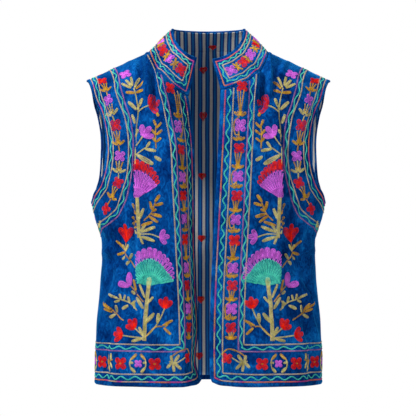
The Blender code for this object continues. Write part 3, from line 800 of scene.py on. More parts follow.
def velvet():
    paint, tree, body_shader, where = new_paint("velvet_crushed")
    spot = where.outputs["Object"]
    stretch = tree.nodes.new("ShaderNodeMapping")
    stretch.inputs["Scale"].default_value = (1.0, 1.0, 0.55)
    tree.links.new(spot, stretch.inputs["Vector"])
    # the broad patches are painted fold shade and highlight as much as crush; the small ones are the crushed
    # pile
    broad = cloudy(tree, spot, 19, 2.0, 0.5, 1.0)
    small = cloudy(tree, stretch.outputs["Vector"], 150, 5.0, 0.66, 1.6)
    mixed = math_node(tree, "ADD", math_node(tree, "MULTIPLY", broad, 1 - SMALL_SHARE),
                      math_node(tree, "MULTIPLY", small, SMALL_SHARE))
    tree.links.new(shades(tree, mixed, VELVET_CRUSH_AND_PAINTED_SHADE), body_shader.inputs["Base Color"])
    pile = cloudy(tree, spot, 1500, 2.0)
    soft = raised(tree, mixed, 0.7, 0.003)
    tree.links.new(raised(tree, pile, 0.3, 0.0003, soft), body_shader.inputs["Normal"])
    body_shader.inputs["Roughness"].default_value = 0.6
    body_shader.inputs["Specular IOR Level"].default_value = 0.0
    body_shader.inputs["Sheen Weight"].default_value = 0.75
    body_shader.inputs["Sheen Roughness"].default_value = 0.3
    body_shader.inputs["Sheen Tint"].default_value = (0.02, 0.36, 0.85, 1)
    return paint


velvet_paint = velvet()
EDGE_ROLL = np.array([-0.5, 1.3, 1.2, -0.6])            # from the edge in: a rolled rim, then its stitch line
COLLAR_ROLL = np.array([-0.5, 1.0, 1.0, -0.4])
COLLAR_END_ROLL = np.array([-0.25, 0.6, 0.5, -0.3])


def free_edges(piece):
    """How far the rolled edges stand up, on the free edges only."""
    lift = np.zeros(piece["worn"].shape[:2])
    armhole = slice(piece["under"] + 1, -1)
    lift[:4] += EDGE_ROLL[:, None]
    lift[slice(4, None) if piece["face"] < 0 else armhole, :4] += EDGE_ROLL
    lift[armhole, -1:-5:-1] += EDGE_ROLL
    return lift


for name, piece in pieces.items():
    whole = np.ones((piece["worn"].shape[0] - 1, piece["worn"].shape[1] - 1), bool)
    piece["skin"] = free_edges(piece)
    cloth_piece = shell("velvet_" + name, piece, 0, VELVET, whole, velvet_paint, piece["skin"])
    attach(cloth_piece, "root")
    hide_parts(name)
    cut_size(piece)
    cut_area(piece, whole)

whole = np.ones((band.shape[0] - 1, band.shape[1] - 1), bool)
collar["skin"] = np.zeros(band.shape[:2])
collar["skin"][-4:] += COLLAR_ROLL[:, None]
collar["skin"][1:-4, :4] += COLLAR_END_ROLL
collar["skin"][1:-4, -1:-5:-1] += COLLAR_END_ROLL
collar_velvet = shell("velvet_collar", collar, 0, VELVET, whole, velvet_paint, collar["skin"])
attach(collar_velvet, "root")
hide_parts("collar")

# ---------------------------------------------------------------- the striped lining
# Plain-woven cotton, cut to the same pattern and slipped in by hand just inside
# the turned velvet edge. Beige and navy stripes run with the grain.
LINING = 1.0            # cloth wall
GAP = 0.3               # between the velvet and the lining
LINING_WALL = VELVET + GAP, VELVET + GAP + LINING       # its two faces, in from the velvet's outside
STRIPE = 0.0126         # one repeat, metres
STRIPES = [(0.0, (0.58, 0.55, 0.50)), (0.36, (0.030, 0.14, 0.40)), (0.42, (0.003, 0.030, 0.17)),
           (0.56, (0.006, 0.15, 0.46)), (0.80, (0.003, 0.030, 0.17)), (0.94, (0.030, 0.14, 0.40))]
WORN_SPOTS = [(0.3, (0.55, 0.55, 0.55)), (0.7, (1, 1, 1))]


def striped():
    paint, tree, body_shader, where = new_paint("lining_stripe")
    split = tree.nodes.new("ShaderNodeSeparateXYZ")
    tree.links.new(where.outputs["UV"], split.inputs["Vector"])
    drift = math_node(tree, "SUBTRACT", cloudy(tree, where.outputs["UV"], 9, 1.0), 0.5)
    wobble = math_node(tree, "MULTIPLY", drift, 0.0022)
    across = math_node(tree, "ADD", math_node(tree, "ADD", split.outputs["X"], 5.0), wobble)
    repeat = math_node(tree, "FRACT", math_node(tree, "DIVIDE", across, STRIPE), 0)
    woven = shades(tree, repeat, STRIPES, plain=True)
    tint = tree.nodes.new("ShaderNodeMix")
    tint.data_type = "RGBA"
    tint.blend_type = "MULTIPLY"
    tint.inputs["Factor"].default_value = 0.35
    tree.links.new(woven, tint.inputs["A"])
    tree.links.new(shades(tree, cloudy(tree, where.outputs["UV"], 320, 3.0), WORN_SPOTS), tint.inputs["B"])
    tree.links.new(tint.outputs["Result"], body_shader.inputs["Base Color"])
    warp = math_node(tree, "SINE", math_node(tree, "MULTIPLY", split.outputs["X"], 9000.0), 0)
    weft = math_node(tree, "SINE", math_node(tree, "MULTIPLY", split.outputs["Y"], 9000.0), 0)
    weave = math_node(tree, "MULTIPLY", warp, weft)
    rumple = raised(tree, cloudy(tree, where.outputs["UV"], 42, 2.0), 0.35, 0.002)
    tree.links.new(raised(tree, weave, 0.3, 0.0002, rumple), body_shader.inputs["Normal"])
    body_shader.inputs["Roughness"].default_value = 0.85
    body_shader.inputs["Specular IOR Level"].default_value = 0.2
    return paint


lining_paint = striped()
for name, piece in pieces.items():
    inside = np.ones((piece["worn"].shape[0] - 1, piece["worn"].shape[1] - 1), bool)
    inside[:RING] = False
    inside[piece["under"]:, -1] = False         # it comes close to the armhole edge
    if piece["face"] < 0:
        inside[:, :RING] = False
    else:
        inside[piece["under"]:, 0] = False
    short_name = name.replace("_panel", "")
    cotton = shell("cotton_" + short_name, piece, *LINING_WALL, inside, lining_paint)
    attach(cotton, "root")
    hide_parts("lining_" + short_name)
    cut_size(piece)
    cut_area(piece, inside)
GRAIN_TURN, GRAIN_SHARE = 22, 0.9       # deeper than this, its depth counts as width, nearly in full
reach = band[..., 1].max(1, keepdims=True) - band[..., 1]
round_ends = np.sign(band[..., 0]) * GRAIN_SHARE * np.maximum(reach - GRAIN_TURN, 0)
collar["grain"] = np.stack([band[..., 0] + round_ends, band[..., 2]], axis=2)       # its stripes stay upright
inside = np.ones((band.shape[0] - 1, band.shape[1] - 1), bool)
inside[-1] = False
inside[:, :RING] = inside[:, -RING:] = False
cotton = shell("cotton_collar", collar, *LINING_WALL, inside, lining_paint)
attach(cotton, "root")
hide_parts("lining_collar")

# ---------------------------------------------------------------- chain stitch embroidery
# Worked with a hooked needle in soft cotton, after the pieces are cut and
# before they are lined. Every line and filled shape is rows of chain links.
LINK = 3.1              # one chain link along its row
ROW = 2.3               # from row to row in a filled shape
THREADS = {  # name: two colours the thread wanders between
    "red": ((0.58, 0.003, 0.006), (0.95, 0.030, 0.008)),
    "lilac": ((0.54, 0.10, 0.62), (0.80, 0.185, 0.86)),
    "teal": ((0.040, 0.48, 0.38), (0.110, 0.76, 0.58)),
    "gold": ((0.42, 0.21, 0.012), (0.72, 0.40, 0.035)),
    "cream": ((0.44, 0.38, 0.11), (0.70, 0.62, 0.27)),
    "beige": ((0.42, 0.33, 0.22), (0.66, 0.54, 0.40)),
    "mauve": ((0.24, 0.09, 0.30), (0.48, 0.22, 0.46)),
}
VARIEGATED = [(0.30, (0.60, 0.34, 0.14)), (0.40, (0.75, 0.20, 0.06)), (0.47, (0.70, 0.10, 0.14)),
              (0.53, (0.50, 0.05, 0.32)), (0.60, (0.66, 0.42, 0.26)), (0.70, (0.55, 0.40, 0.30))]


def thread_paint(name):
    paint, tree, body_shader, where = new_paint("thread_" + name)
    spot = where.outputs["Object"]
    if name == "variegated":
        colour = shades(tree, cloudy(tree, spot, 22, 1.0), VARIEGATED)
    else:
        low, high = THREADS[name]
        colour = shades(tree, cloudy(tree, spot, 130, 3.0), [(0.35, low), (0.65, high)])
    tree.links.new(colour, body_shader.inputs["Base Color"])
    tree.links.new(raised(tree, cloudy(tree, spot, 2400, 1.0), 0.3, 0.0002), body_shader.inputs["Normal"])
    body_shader.inputs["Roughness"].default_value = 0.55
    body_shader.inputs["Specular IOR Level"].default_value = 0.05
    return paint


def chain_nodes():
    """One chain link set on every point, turned by its own two directions."""
    tree = bpy.data.node_groups.new("chain_stitch", "GeometryNodeTree")
    face = tree.interface
    face.new_socket("Points", in_out="INPUT", socket_type="NodeSocketGeometry")
    for name in ("Length", "Width", "Thread"):
        face.new_socket(name, in_out="INPUT", socket_type="NodeSocketFloat")
    face.new_socket("Seed", in_out="INPUT", socket_type="NodeSocketInt")
    face.new_socket("Material", in_out="INPUT", socket_type="NodeSocketMaterial")
    face.new_socket("Stitches", in_out="OUTPUT", socket_type="NodeSocketGeometry")
    node, link = tree.nodes.new, tree.links.new
    given, made = node("NodeGroupInput"), node("NodeGroupOutput")
    loop = node("GeometryNodeCurvePrimitiveCircle")
    loop.inputs["Resolution"].default_value = 6
    loop.inputs["Radius"].default_value = 1.0
    size = node("ShaderNodeCombineXYZ")
    link(given.outputs["Length"], size.inputs["X"])
    link(given.outputs["Width"], size.inputs["Y"])
    size.inputs["Z"].default_value = 1.0
    shaped = node("GeometryNodeTransform")
    link(loop.outputs["Curve"], shaped.inputs["Geometry"])
    link(size.outputs["Vector"], shaped.inputs["Scale"])
    strand = node("GeometryNodeCurvePrimitiveCircle")
    strand.inputs["Resolution"].default_value = 3
    link(given.outputs["Thread"], strand.inputs["Radius"])
    tube = node("GeometryNodeCurveToMesh")
    link(shaped.outputs["Geometry"], tube.inputs["Curve"])
    link(strand.outputs["Curve"], tube.inputs["Profile Curve"])
    ways = []
    for name in ("out", "along"):
        way = node("GeometryNodeInputNamedAttribute")
        way.data_type = "FLOAT_VECTOR"
        way.inputs["Name"].default_value = name
        ways.append(way.outputs["Attribute"])
    turn = node("FunctionNodeAxesToRotation")
    turn.primary_axis, turn.secondary_axis = "Z", "X"
    link(ways[0], turn.inputs["Primary Axis"])
    link(ways[1], turn.inputs["Secondary Axis"])
    vary = node("FunctionNodeRandomValue")
    vary.data_type = "FLOAT_VECTOR"
    vary.inputs["Min"].default_value = (0.94, 0.86, 0.8)
    vary.inputs["Max"].default_value = (1.08, 1.12, 1.2)
    link(given.outputs["Seed"], vary.inputs["Seed"])
    placed = node("GeometryNodeInstanceOnPoints")
    link(given.outputs["Points"], placed.inputs["Points"])
    link(tube.outputs["Mesh"], placed.inputs["Instance"])
    link(turn.outputs["Rotation"], placed.inputs["Rotation"])
    link(vary.outputs["Value"], placed.inputs["Scale"])
    real = node("GeometryNodeRealizeInstances")
    link(placed.outputs["Instances"], real.inputs["Geometry"])
    coloured = node("GeometryNodeSetMaterial")
    link(real.outputs["Geometry"], coloured.inputs["Geometry"])
    link(given.outputs["Material"], coloured.inputs["Material"])
    link(coloured.outputs["Geometry"], made.inputs["Stitches"])
    return tree


chain = chain_nodes()
chain_inputs = {s.name: s.identifier for s in chain.interface.items_tree if s.in_out == "INPUT"}
LINK_SIZE = {"Length": 0.00170, "Width": 0.00072, "Thread": 0.00046}    # half lengths and widths, metres


def stitch(name, thread, points, out, along, paint, seed):
    """Chain links on the cloth, as one plain mesh."""
    mesh = bpy.data.meshes.new(name)
    mesh.from_pydata(points.tolist(), [], [])
    for label, values in (("out", out), ("along", along)):
        mesh.attributes.new(label, "FLOAT_VECTOR", "POINT").data.foreach_set(
            "vector", values.astype(np.float32).ravel())
    dots = bpy.data.objects.new(name + "_dots", mesh)
    bpy.context.scene.collection.objects.link(dots)
    grow = dots.modifiers.new("chain", "NODES")
    grow.node_group = chain
    for label, value in (*LINK_SIZE.items(), ("Seed", seed), ("Material", paint)):
        grow[chain_inputs[label]] = value
    bpy.context.view_layer.update()
    made = bpy.data.meshes.new_from_object(dots.evaluated_get(bpy.context.evaluated_depsgraph_get()))
    bpy.data.objects.remove(dots)
    made.polygons.foreach_set("use_smooth", np.ones(len(made.polygons), bool))
    work = bpy.data.objects.new(name, made)
    bpy.context.scene.collection.objects.link(work)
    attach(work, "root")


# Rows are kept per panel and thread as lines on the cutting pattern.
rows_of = {}


def row(panel, thread, line):
    line = np.asarray(line, float)
    if len(line) > 1:
        rows_of.setdefault((panel, thread), []).append(line)


def moved(line, place, angle):
    """A line drawn pointing up, turned outward by an angle and set down."""
    a = math.radians(angle)
    line = np.asarray(line, float)
    return np.stack([place[0] + line[:, 0] * math.cos(a) + line[:, 1] * math.sin(a),
                     place[1] - line[:, 0] * math.sin(a) + line[:, 1] * math.cos(a)], axis=1)


def petal_rows(long, wide, blunt=0.3):
    """Rows of a petal that stands on its foot, from its outline in to its spine."""
    rows, depth = [], ROW / 2
    while wide / 2 - depth > ROW * 0.3:
        t = np.linspace(-math.pi / 2, 1.5 * math.pi, 37)
        rows.append(np.stack([(wide / 2 - depth) * np.cos(t) * (1 + blunt * np.sin(t)),
                              long / 2 + (long / 2 - depth) * np.sin(t)], axis=1))
        depth += ROW
    if wide / 2 - depth > -ROW * 0.45:
        rows.append(np.array([(0, min(depth, long * 0.4)), (0, max(long - depth, long * 0.6))]))
    return rows


def petal(panel, thread, place, angle, long, wide, blunt=0.3):
    for line in petal_rows(long, wide, blunt):
        row(panel, thread, moved(line, place, angle))


def leaf(panel, thread, foot, tip, wide=3.6):
    """A leaf from foot to tip."""
    foot, tip = np.array(foot, float), np.array(tip, float)
    long = np.linalg.norm(tip - foot)
    petal(panel, thread, foot, math.degrees(math.atan2(*(tip - foot))), long + 1.0, wide + 1.0, 0.15)


def flower(panel, thread, place, angle=0.0, span=18.0, knot=False):
    """Four round petals set crosswise, some round a gold knot."""
    for quarter in (45, 135, 225, 315):
        foot = moved([(0, span * 0.05)], place, angle + quarter)[0]
        petal(panel, thread, foot, angle + quarter, span * 0.52, span * 0.45, 0.12)
    row(panel, "gold" if knot else thread, moved([(-0.3, 0), (0.3, 0)], place, angle))


def tulip(panel, thread, place, angle, tall, spread=34.0, wide=8.0):
    """Three petals that open from one foot."""
    for lean, size in ((-spread, 0.9), (spread, 0.9), (0, 1.0)):
        petal(panel, thread, place, angle + lean, tall * size, wide, 0.35)


def spray(panel, thread, place, angle, size=9.0):
    """Five small leaves standing on one foot, like a crown."""
    for lean, share_of in ((-60, 1.15), (-28, 0.85), (0, 0.6), (28, 0.85), (60, 1.15)):
        foot = moved([(0, 1.0)], place, angle + lean)[0]
        petal(panel, thread, foot, angle + lean, size * share_of, 4.4 if abs(lean) > 50 else 2.6, 0.2)


def vine(panel, thread, points):
    row(panel, thread, curve(points, 60) if len(points) > 2 else points)


def fan(panel, thread, foot, angles, reach, start, limit):
    """Wedge petals spread from one foot, each ending in a round scallop."""
    half = math.radians(angles[1] - angles[0]) / 2
    if start(0) < 5:        # short rows round the foot fill what the wedges leave
        for radius in np.arange(2.4, (ROW / 2 + 0.15) / half + 2.2, ROW):
            swing = np.radians(np.linspace(angles[0], angles[-1], 24))
            shape = np.stack([foot[0] + radius * np.sin(swing), foot[1] + radius * np.cos(swing)], axis=1)
            row(panel, thread, shape[shape[:, 0] < limit(shape[:, 1])])
    for angle in angles:
        far, near_end = reach(angle), start(angle)
        depth = ROW / 2 + 0.15      # a dark line is left between petals
        neck_at = far / (1 + half)
        while half * neck_at - depth > -ROW * 0.2:
            tip = max(half * neck_at - depth, 0.0)
            low = max(near_end, depth / half)
            if low < neck_at:
                side = np.linspace(low, neck_at, 12)
                arc = np.linspace(0, math.pi, 9)
                shape = np.concatenate([
                    np.stack([np.maximum(half * side - depth, 0), side], axis=1),
                    np.stack([tip * np.cos(arc), neck_at + tip * np.sin(arc)], axis=1),
                    np.stack([-np.maximum(half * side[::-1] - depth, 0), side[::-1]], axis=1)])
                if tip < ROW * 0.3:
                    shape = shape[:12]
                shape = moved(shape, foot, angle)
                shown = shape[:, 0] < limit(shape[:, 1])
                for k in np.split(np.arange(len(shape)), np.nonzero(np.diff(shown.astype(int)))[0] + 1):
                    if shown[k[0]]:
                        row(panel, thread, shape[k])
            depth += ROW


def wave(line, swing, period):
    """A line swung from side to side."""
    line = spaced(line, np.linspace(0, 1, 1200))
    ahead = np.gradient(line, axis=0)
    ahead /= np.linalg.norm(ahead, axis=1)[:, None] + 1e-9
    aside = np.stack([-ahead[:, 1], ahead[:, 0]], axis=1)
    return line + (swing * np.sin(run_of(line) / period * 2 * math.pi))[:, None] * aside


def cut(line, start_line=None, stop_line=None):
    """The stretch of a line between two lines that it crosses."""
    lo = 0.0 if start_line is None else corner(line, start_line)[0]
    hi = 1.0 if stop_line is None else corner(line, stop_line)[0]
    return between(line, lo, hi)


def band_row(outer, inner, distance):
    """A row of the armhole band, between the edge and the band's inner line."""
    a, b = (spaced(line, np.linspace(0, 1, 301)) for line in (outer, inner))
    return a + (b - a) * distance / ARM_BAND


def spot_on(line, share_along):
    """A place on a line, and the line's heading in degrees."""
    a, b = spaced(line, [max(share_along - 0.004, 0), min(share_along + 0.004, 1)])
    ahead = (b - a) / np.linalg.norm(b - a)
    return (a + b) / 2, math.degrees(math.atan2(ahead[0], ahead[1]))


EDGE_ROWS = [  # from the edge, from the hem, thread, swing, period
    (8.0, 8.5, "variegated", 0.0, 1.0),
    (15.0, 14.6, "teal", 2.6, 22.0),
    (21.5, 21.0, "beige", 0.0, 1.0),
    (47.6, 58.7, "mauve", 0.0, 1.0),
    (51.8, 63.9, "teal", 2.2, 25.0),
    (56.5, 69.8, "beige", 0.0, 1.0),
]
ARM_BAND = 59.5
ARM_INNER_FRONT = [(153, 278), (132, 331), (125, 392), (128.5, 438), (141, 480)]     # half width, height
ARM_ROWS = [
    (8.0, "variegated", 0.0, 1.0),
    (14.5, "teal", 1.6, 26.0),
    (19.5, "beige", 0.0, 1.0),
    (50.0, "beige", 0.0, 1.0),
    (54.5, "teal", 1.8, 27.0),
    (59.5, "mauve", 0.0, 1.0),
]
EDGE_FLOWERS = [483, 428, 392, 346, 314, 275, 241, 196, 167, 129, 98]    # heights, red and lilac by turns
ARM_FLOWERS = [  # thread, height, half width
    ("red", 506, 177), ("lilac", 473, 165), ("red", 429, 152),
    ("lilac", 380, 147), ("red", 336, 150), ("red", 293, 169),
]
ARM_FOOT = 245          # the band's inner line meets the side seam at this height
ARM_HEAD = 160.0        # and the shoulder seam this far out
HEM_STEP = 28.5                     # from motif to motif along the fronts' hem


def at(half_width, height):
    """A place on a front, as it is seen from the front."""
    return np.array(pattern(half_width, height, -1), float)


def pleat_edge(up):
    return np.interp(up, PLEAT_HEIGHTS, PLEAT_ACROSS) + 3.0


def teal_reach(angle):
    """The teal fan is flatter at its flanks and lifts again at its two ends."""
    away = abs(angle)
    return 46.5 - 8.5 * min(away / 49, 1) + 3.5 * max((away - 49) / 21, 0)


SEAM_CLEAR = 1.6        # stitches stop short of every seam

for panel, own in (("front_right", pieces["front_right"]), ("front_left", pieces["front_left"])):
    lines = own["lines"]
    edge, hem, neck, seam, arm = (lines[k] for k in ("edge", "hem", "neck", "seam", "arm"))
    shoulder = np.array([(x, shoulder_up(x, -1)) for x in np.linspace(NECK_POINT, TIP, 60)])
    seam_stop, neck_stop = inset(seam, SEAM_CLEAR), inset(neck[::-1], SEAM_CLEAR)
    shoulder_stop = inset(shoulder[::-1], SEAM_CLEAR)

    # rows down the front edge that turn the corner into the hem band
    for from_edge, from_hem, thread, swing, period in EDGE_ROWS:
        down, across_hem = inset(edge[::-1], from_edge), inset(hem, from_hem)
        down = cut(down, neck_stop)
        turn_at, go_on = corner(down, across_hem)
        line = np.vstack([between(down, 0, turn_at), between(across_hem, go_on, 1)[1:]])
        line = cut(line, None, seam_stop)
        row(panel, thread, wave(line, swing, period) if swing else line)
    # rows round the armhole
    arm_inner = curve([(girth(ARM_FOOT, -1), ARM_FOOT)] + [at(*p) for p in ARM_INNER_FRONT]
                      + [(ARM_HEAD, shoulder_up(ARM_HEAD, -1))])
    for from_arm, thread, swing, period in ARM_ROWS:
        line = cut(band_row(arm, arm_inner, from_arm), seam_stop, shoulder_stop)
        row(panel, thread, wave(line, swing, period) if swing else line)

    # flowers up the front band, a crown of leaves over each and a vine beside the lilac ones
    middle = inset(edge[::-1], 35.0)[::-1]
    for k, height in enumerate(EDGE_FLOWERS):
        place = np.array([np.interp(height, middle[:, 1], middle[:, 0]), height])
        thread = "lilac" if k % 2 else "red"
        flower(panel, thread, place, 4.0 * math.sin(k * 1.7), 18.6 + 0.8 * math.sin(k * 2.3))
        if k == 0:
            continue
        foot = place + (-0.5, 12.0)
        spray(panel, "gold", foot, 3 * math.sin(k * 2.9), 9.5)
        above = EDGE_FLOWERS[k - 1] - 9
        if k % 2:           # stems from a red flower down into the crown
            for dx in (-4.5, 0.5, 6.0):
                vine(panel, "gold", [(place[0] + dx, above + abs(dx) * 0.5),
                                     (foot[0] + dx * 0.08, foot[1] + 1)])
            side_vine = [foot + (-1, 0), foot + (-8.5, -6), place + (-10.5, -2)]
            if k + 1 < len(EDGE_FLOWERS):
                side_vine += [place + (-8.5, -13), (place[0] - 3, EDGE_FLOWERS[k + 1] + 22)]
            vine(panel, "gold", side_vine)
        else:
            vine(panel, "gold", [(place[0] - 1, above + 1), foot + (0, 2)])
    foot = np.array([place[0], 78.0])
    spray(panel, "gold", foot, 0, 9.0)
    for dx in (-4.0, 0.5, 5.0):
        vine(panel, "gold", [(foot[0] + dx, 90.0), (foot[0] + dx * 0.08, 79.0)])

    # the hem band, from the corner flower out to the side seam
    mid_hem = cut(inset(hem, 38.5), None, seam_stop)
    long_hem = steps_of(mid_hem).sum()
    first_flower = np.array([at(30, 0)[0], 48.0])
    flower(panel, "red", first_flower, 8, 17.0)
    vine(panel, "gold", [first_flower + step for step in ((-9, 6), (2, 15), (18, 11), (30, 3))])
    begin = float(np.interp(first_flower[0], mid_hem[:, 0], np.linspace(0, 1, len(mid_hem))))
    steps = np.arange(1, 11) * HEM_STEP / long_hem + begin
    for k, share_at in enumerate(s for s in steps if s < 0.96):
        place, _ = spot_on(mid_hem, share_at)
        if k == 0:          # the leaf cluster beside the corner flower
            place += (-1, 2)
            vine(panel, "cream", [first_flower + (8, 1), place + (-6, 0), place + (6, 2)])
            for dx, dz in ((-13, -10), (-10, 12), (-2, -14), (3, 11), (9, -8)):
                leaf(panel, "cream", place + (dx * 0.2, 0), place + (dx, dz), 4.2)
        elif k % 2:         # a big red flower with a gold eye
            flower(panel, "red", place, 3.0 * math.sin(k * 2.1), 20.5, True)
        elif k % 4 == 2:    # a small lilac flower between curving leaves
            flower(panel, "lilac", place, 0, 12.5)
            for dx in (-1, 1):
                vine(panel, "cream", [place + (dx * 4, 13), place + (dx * 11, 8), place + (dx * 13, 0),
                                      place + (dx * 11, -8), place + (dx * 5, -13)])
                leaf(panel, "gold", place + (dx * 12, 6), place + (dx * 4, 15), 4.0)
                leaf(panel, "cream", place + (dx * 12, -6), place + (dx * 5, -14), 4.0)
                leaf(panel, "cream", place + (dx * 7, 1), place + (dx * 14, 2), 3.2)
        else:               # a slanting stem of leaves
            vine(panel, "gold", [place + (-13, 6), place + (-3, 2), place + (5, -5), place + (12, -12)])
            for low, high in (((-8, 4), (-9, 15)), ((-1, 1), (3, 13)), ((5, -5), (13, 4)),
                              ((-5, 2), (-9, -8)), ((2, -3), (-1, -14))):
                leaf(panel, "cream" if high[0] < 0 else "gold", place + low, place + high, 4.2)

    # the armhole band: flower, cup of leaves, and so on round to the side seam
    for k, (thread, height, half_width) in enumerate(ARM_FLOWERS):
        place = at(half_width, height)
        share_at = corner(arm, np.array([place, place + (0.01, 0.01)]))[0]
        _, heading = spot_on(arm, share_at)
        flower(panel, thread, place, heading, 17.5)
        if k + 1 < len(ARM_FLOWERS):
            _, next_height, next_width = ARM_FLOWERS[k + 1]
            following = at(next_width, next_height)
            foot = following + (place - following) * 0.36
            lean = math.degrees(math.atan2(*(place - following)))
            colour = "cream" if k % 2 else "gold"
            spray(panel, colour, foot, lean, 11.0)
            for dx in (-5.0, 0.0, 5.0):
                start = moved([(dx * 1.1, -8 - 0.2 * abs(dx))], place, lean)[0]
                vine(panel, "gold" if dx else colour, [start, foot + (start - foot) * 0.2])
            vine(panel, colour, [foot, following + (foot - following) * 0.45])
    spray(panel, "cream", at(178, 263), 24, 12.0)
    spray(panel, "gold", at(182, 252), -20, 8.0)

    # the lower plant: a trunk, a fan flower and its side shoots. Its leaves are listed
    # by foot and tip, as half width and height, then width and thread.
    crown = at(97, 166)
    fan(panel, "lilac", crown, np.arange(-70, 71, 8.75), lambda a: 64 - 22 * abs(a / 77) ** 1.3,
        lambda a: teal_reach(a) - 1.5, pleat_edge)
    fan(panel, "teal", crown, np.arange(-76, 77, 8.0), teal_reach, lambda a: 3.0, pleat_edge)
    trunk = [at(105, 76), at(104.5, 100), at(102.5, 130), at(99, 158), at(97.5, 174)]
    for side in (-1, 0, 1):
        vine(panel, "trunk", [p + (side * (2.1 if k else 2.6), 0) for k, p in enumerate(trunk)])
    petal(panel, "trunk", trunk[-1] + (0.6, -12), -4, 19, 8.6, 0.3)
    for foot, tip, wide, thread in (
            ((102, 136), (91, 148), 3.4, "cream"), ((105, 104), (90, 121), 5.8, "cream"),
            ((107, 128), (117, 147), 5.0, "cream"), ((104, 146), (112, 168), 3.2, "cream"),
            ((107, 84), (114, 98), 4.2, "cream"), ((108, 80), (126, 75), 4.4, "cream"),
            ((84, 105), (82, 121), 5.2, "cream"), ((76, 101), (59, 110), 3.6, "gold"),
            ((74, 98), (62, 87), 3.6, "gold"), ((72, 98), (66, 104), 2.6, "gold"),
            ((122, 128), (124, 141), 3.6, "cream"), ((130, 138), (133, 148), 3.6, "cream"),
            ((128, 136), (121, 141), 3.0, "cream"), ((132, 134), (145, 128), 4.6, "cream"),
            ((140, 141), (138, 150), 3.2, "cream"), ((144, 143), (146, 152), 3.2, "cream"),
            ((148, 145), (158, 151), 3.4, "cream"), ((146, 142), (153, 139), 3.2, "cream"),
            ((154, 121), (153, 133), 3.8, "cream"), ((157, 123), (164, 136), 3.6, "gold"),
            ((160, 126), (171, 137), 3.6, "gold"), ((159, 122), (169, 127), 3.4, "gold"),
            ((156, 119), (167, 113), 4.0, "cream"), ((120, 158), (125, 176), 3.2, "gold"),
            ((121, 152), (127, 157), 3.6, "cream")):
        leaf(panel, thread, at(*foot), at(*tip), wide)
    for thread, *points in (
            ("cream", (72, 129), (80, 111), (92, 92), (104, 82)),
            ("gold", (76, 100), (86, 99), (96, 90), (104, 81)),
            ("cream", (107, 83), (116, 92), (122, 97)), ("cream", (107, 81), (124, 82), (141, 84)),
            ("cream", (118, 126), (130, 138), (144, 143), (152, 146)),
            ("gold", (140, 109), (150, 115), (158, 123)), ("gold", (107, 140), (116, 152), (129, 166))):
        vine(panel, thread, [at(*p) for p in points])
    tulip(panel, "red", at(72, 129), -8, 20, 36, 8.5)
    tulip(panel, "red", at(121, 95), 38, 20, 36, 8.5)
    tulip(panel, "red", at(141, 84), 82, 20, 40, 8.5)
    petal(panel, "lilac", at(130, 165), 10, 24, 10.5, 0.35)
    petal(panel, "lilac", at(131, 165), 74, 20, 10.5, 0.35)

    # the upper plant: star of leaves, stem, second fan and the shoots above it
    crown = at(116, 309)
    fan(panel, "red", crown, np.arange(-51, 52, 8.5), lambda a: 65 - 17 * abs(a / 51) ** 1.2,
        lambda a: 46.5 - 7 * abs(a / 51), pleat_edge)
    fan(panel, "lilac", crown, np.arange(-54, 55, 8.3), lambda a: 48.5 - 7.5 * min(abs(a) / 36, 1),
        lambda a: 3.0, pleat_edge)
    stem = [at(112.5, 246), at(113.5, 268), at(114.5, 290), at(115.5, 312)]
    for side in (-1, 0, 1):
        vine(panel, "trunk", [p + (side * 1.9, 0) for p in stem])
    for foot, tip, wide, thread in (
            ((110, 255), (88, 263), 4.8, "cream"), ((110, 248), (89, 240), 5.0, "cream"),
            ((111, 256), (103, 267), 3.4, "cream"), ((116, 252), (123, 262), 3.4, "cream"),
            ((112, 250), (107, 236), 3.0, "cream"), ((112, 276), (106, 293), 4.4, "cream"),
            ((116, 262), (125, 269), 4.0, "gold"), ((116, 271), (126, 279), 4.0, "gold"),
            ((117, 284), (127, 301), 3.6, "gold"), ((110, 266), (92, 271), 4.4, "gold"),
            ((88, 304), (80, 315), 4.6, "gold"), ((88, 298), (75, 302), 4.2, "gold"),
            ((93, 290), (96, 304), 4.2, "gold"), ((95, 284), (77, 280), 5.0, "gold"),
            ((94, 288), (86, 292), 3.6, "gold"), ((98, 281), (84, 271), 4.0, "gold"),
            ((137, 222), (132, 234), 4.0, "cream"), ((138, 224), (145, 233), 3.8, "cream"),
            ((140, 224), (153, 240), 3.0, "gold"), ((140, 221), (152, 217), 4.0, "gold"),
            ((137, 215), (145, 210), 3.6, "cream"),
            ((131, 207), (138, 201), 4.0, "cream"), ((131, 210), (127, 219), 3.4, "cream"),
            ((117, 381), (91, 366), 7.0, "cream"), ((104, 391), (87, 388), 4.6, "cream"),
            ((102, 393), (96, 402), 3.6, "cream"), ((89, 379), (78, 372), 5.0, "cream"),
            ((117, 455), (109, 474), 4.8, "cream"), ((118, 456), (132, 469), 5.0, "cream"),
            ((121, 431), (126, 448), 4.4, "cream"), ((121, 411), (115, 422), 4.0, "cream"),
            ((120, 484), (108, 489), 4.4, "gold"), ((121, 484), (136, 485), 4.6, "gold"),
            ((120, 490), (109, 504), 3.6, "gold"), ((122, 492), (115, 510), 3.4, "cream"),
            ((125, 495), (128, 510), 3.6, "cream"), ((126, 494), (136, 505), 4.2, "cream"),
            ((127, 492), (142, 498), 4.2, "cream"), ((86, 452), (82, 446), 4.0, "gold"),
            ((86, 424), (78, 433), 3.2, "gold"), ((86, 428), (90, 438), 3.2, "gold"),
            ((86, 414), (77, 421), 3.2, "gold"), ((86, 414), (93, 422), 3.2, "gold"),
            ((86, 402), (78, 409), 3.2, "gold"), ((86, 402), (92, 410), 3.2, "gold")):
        leaf(panel, thread, at(*foot), at(*tip), wide)
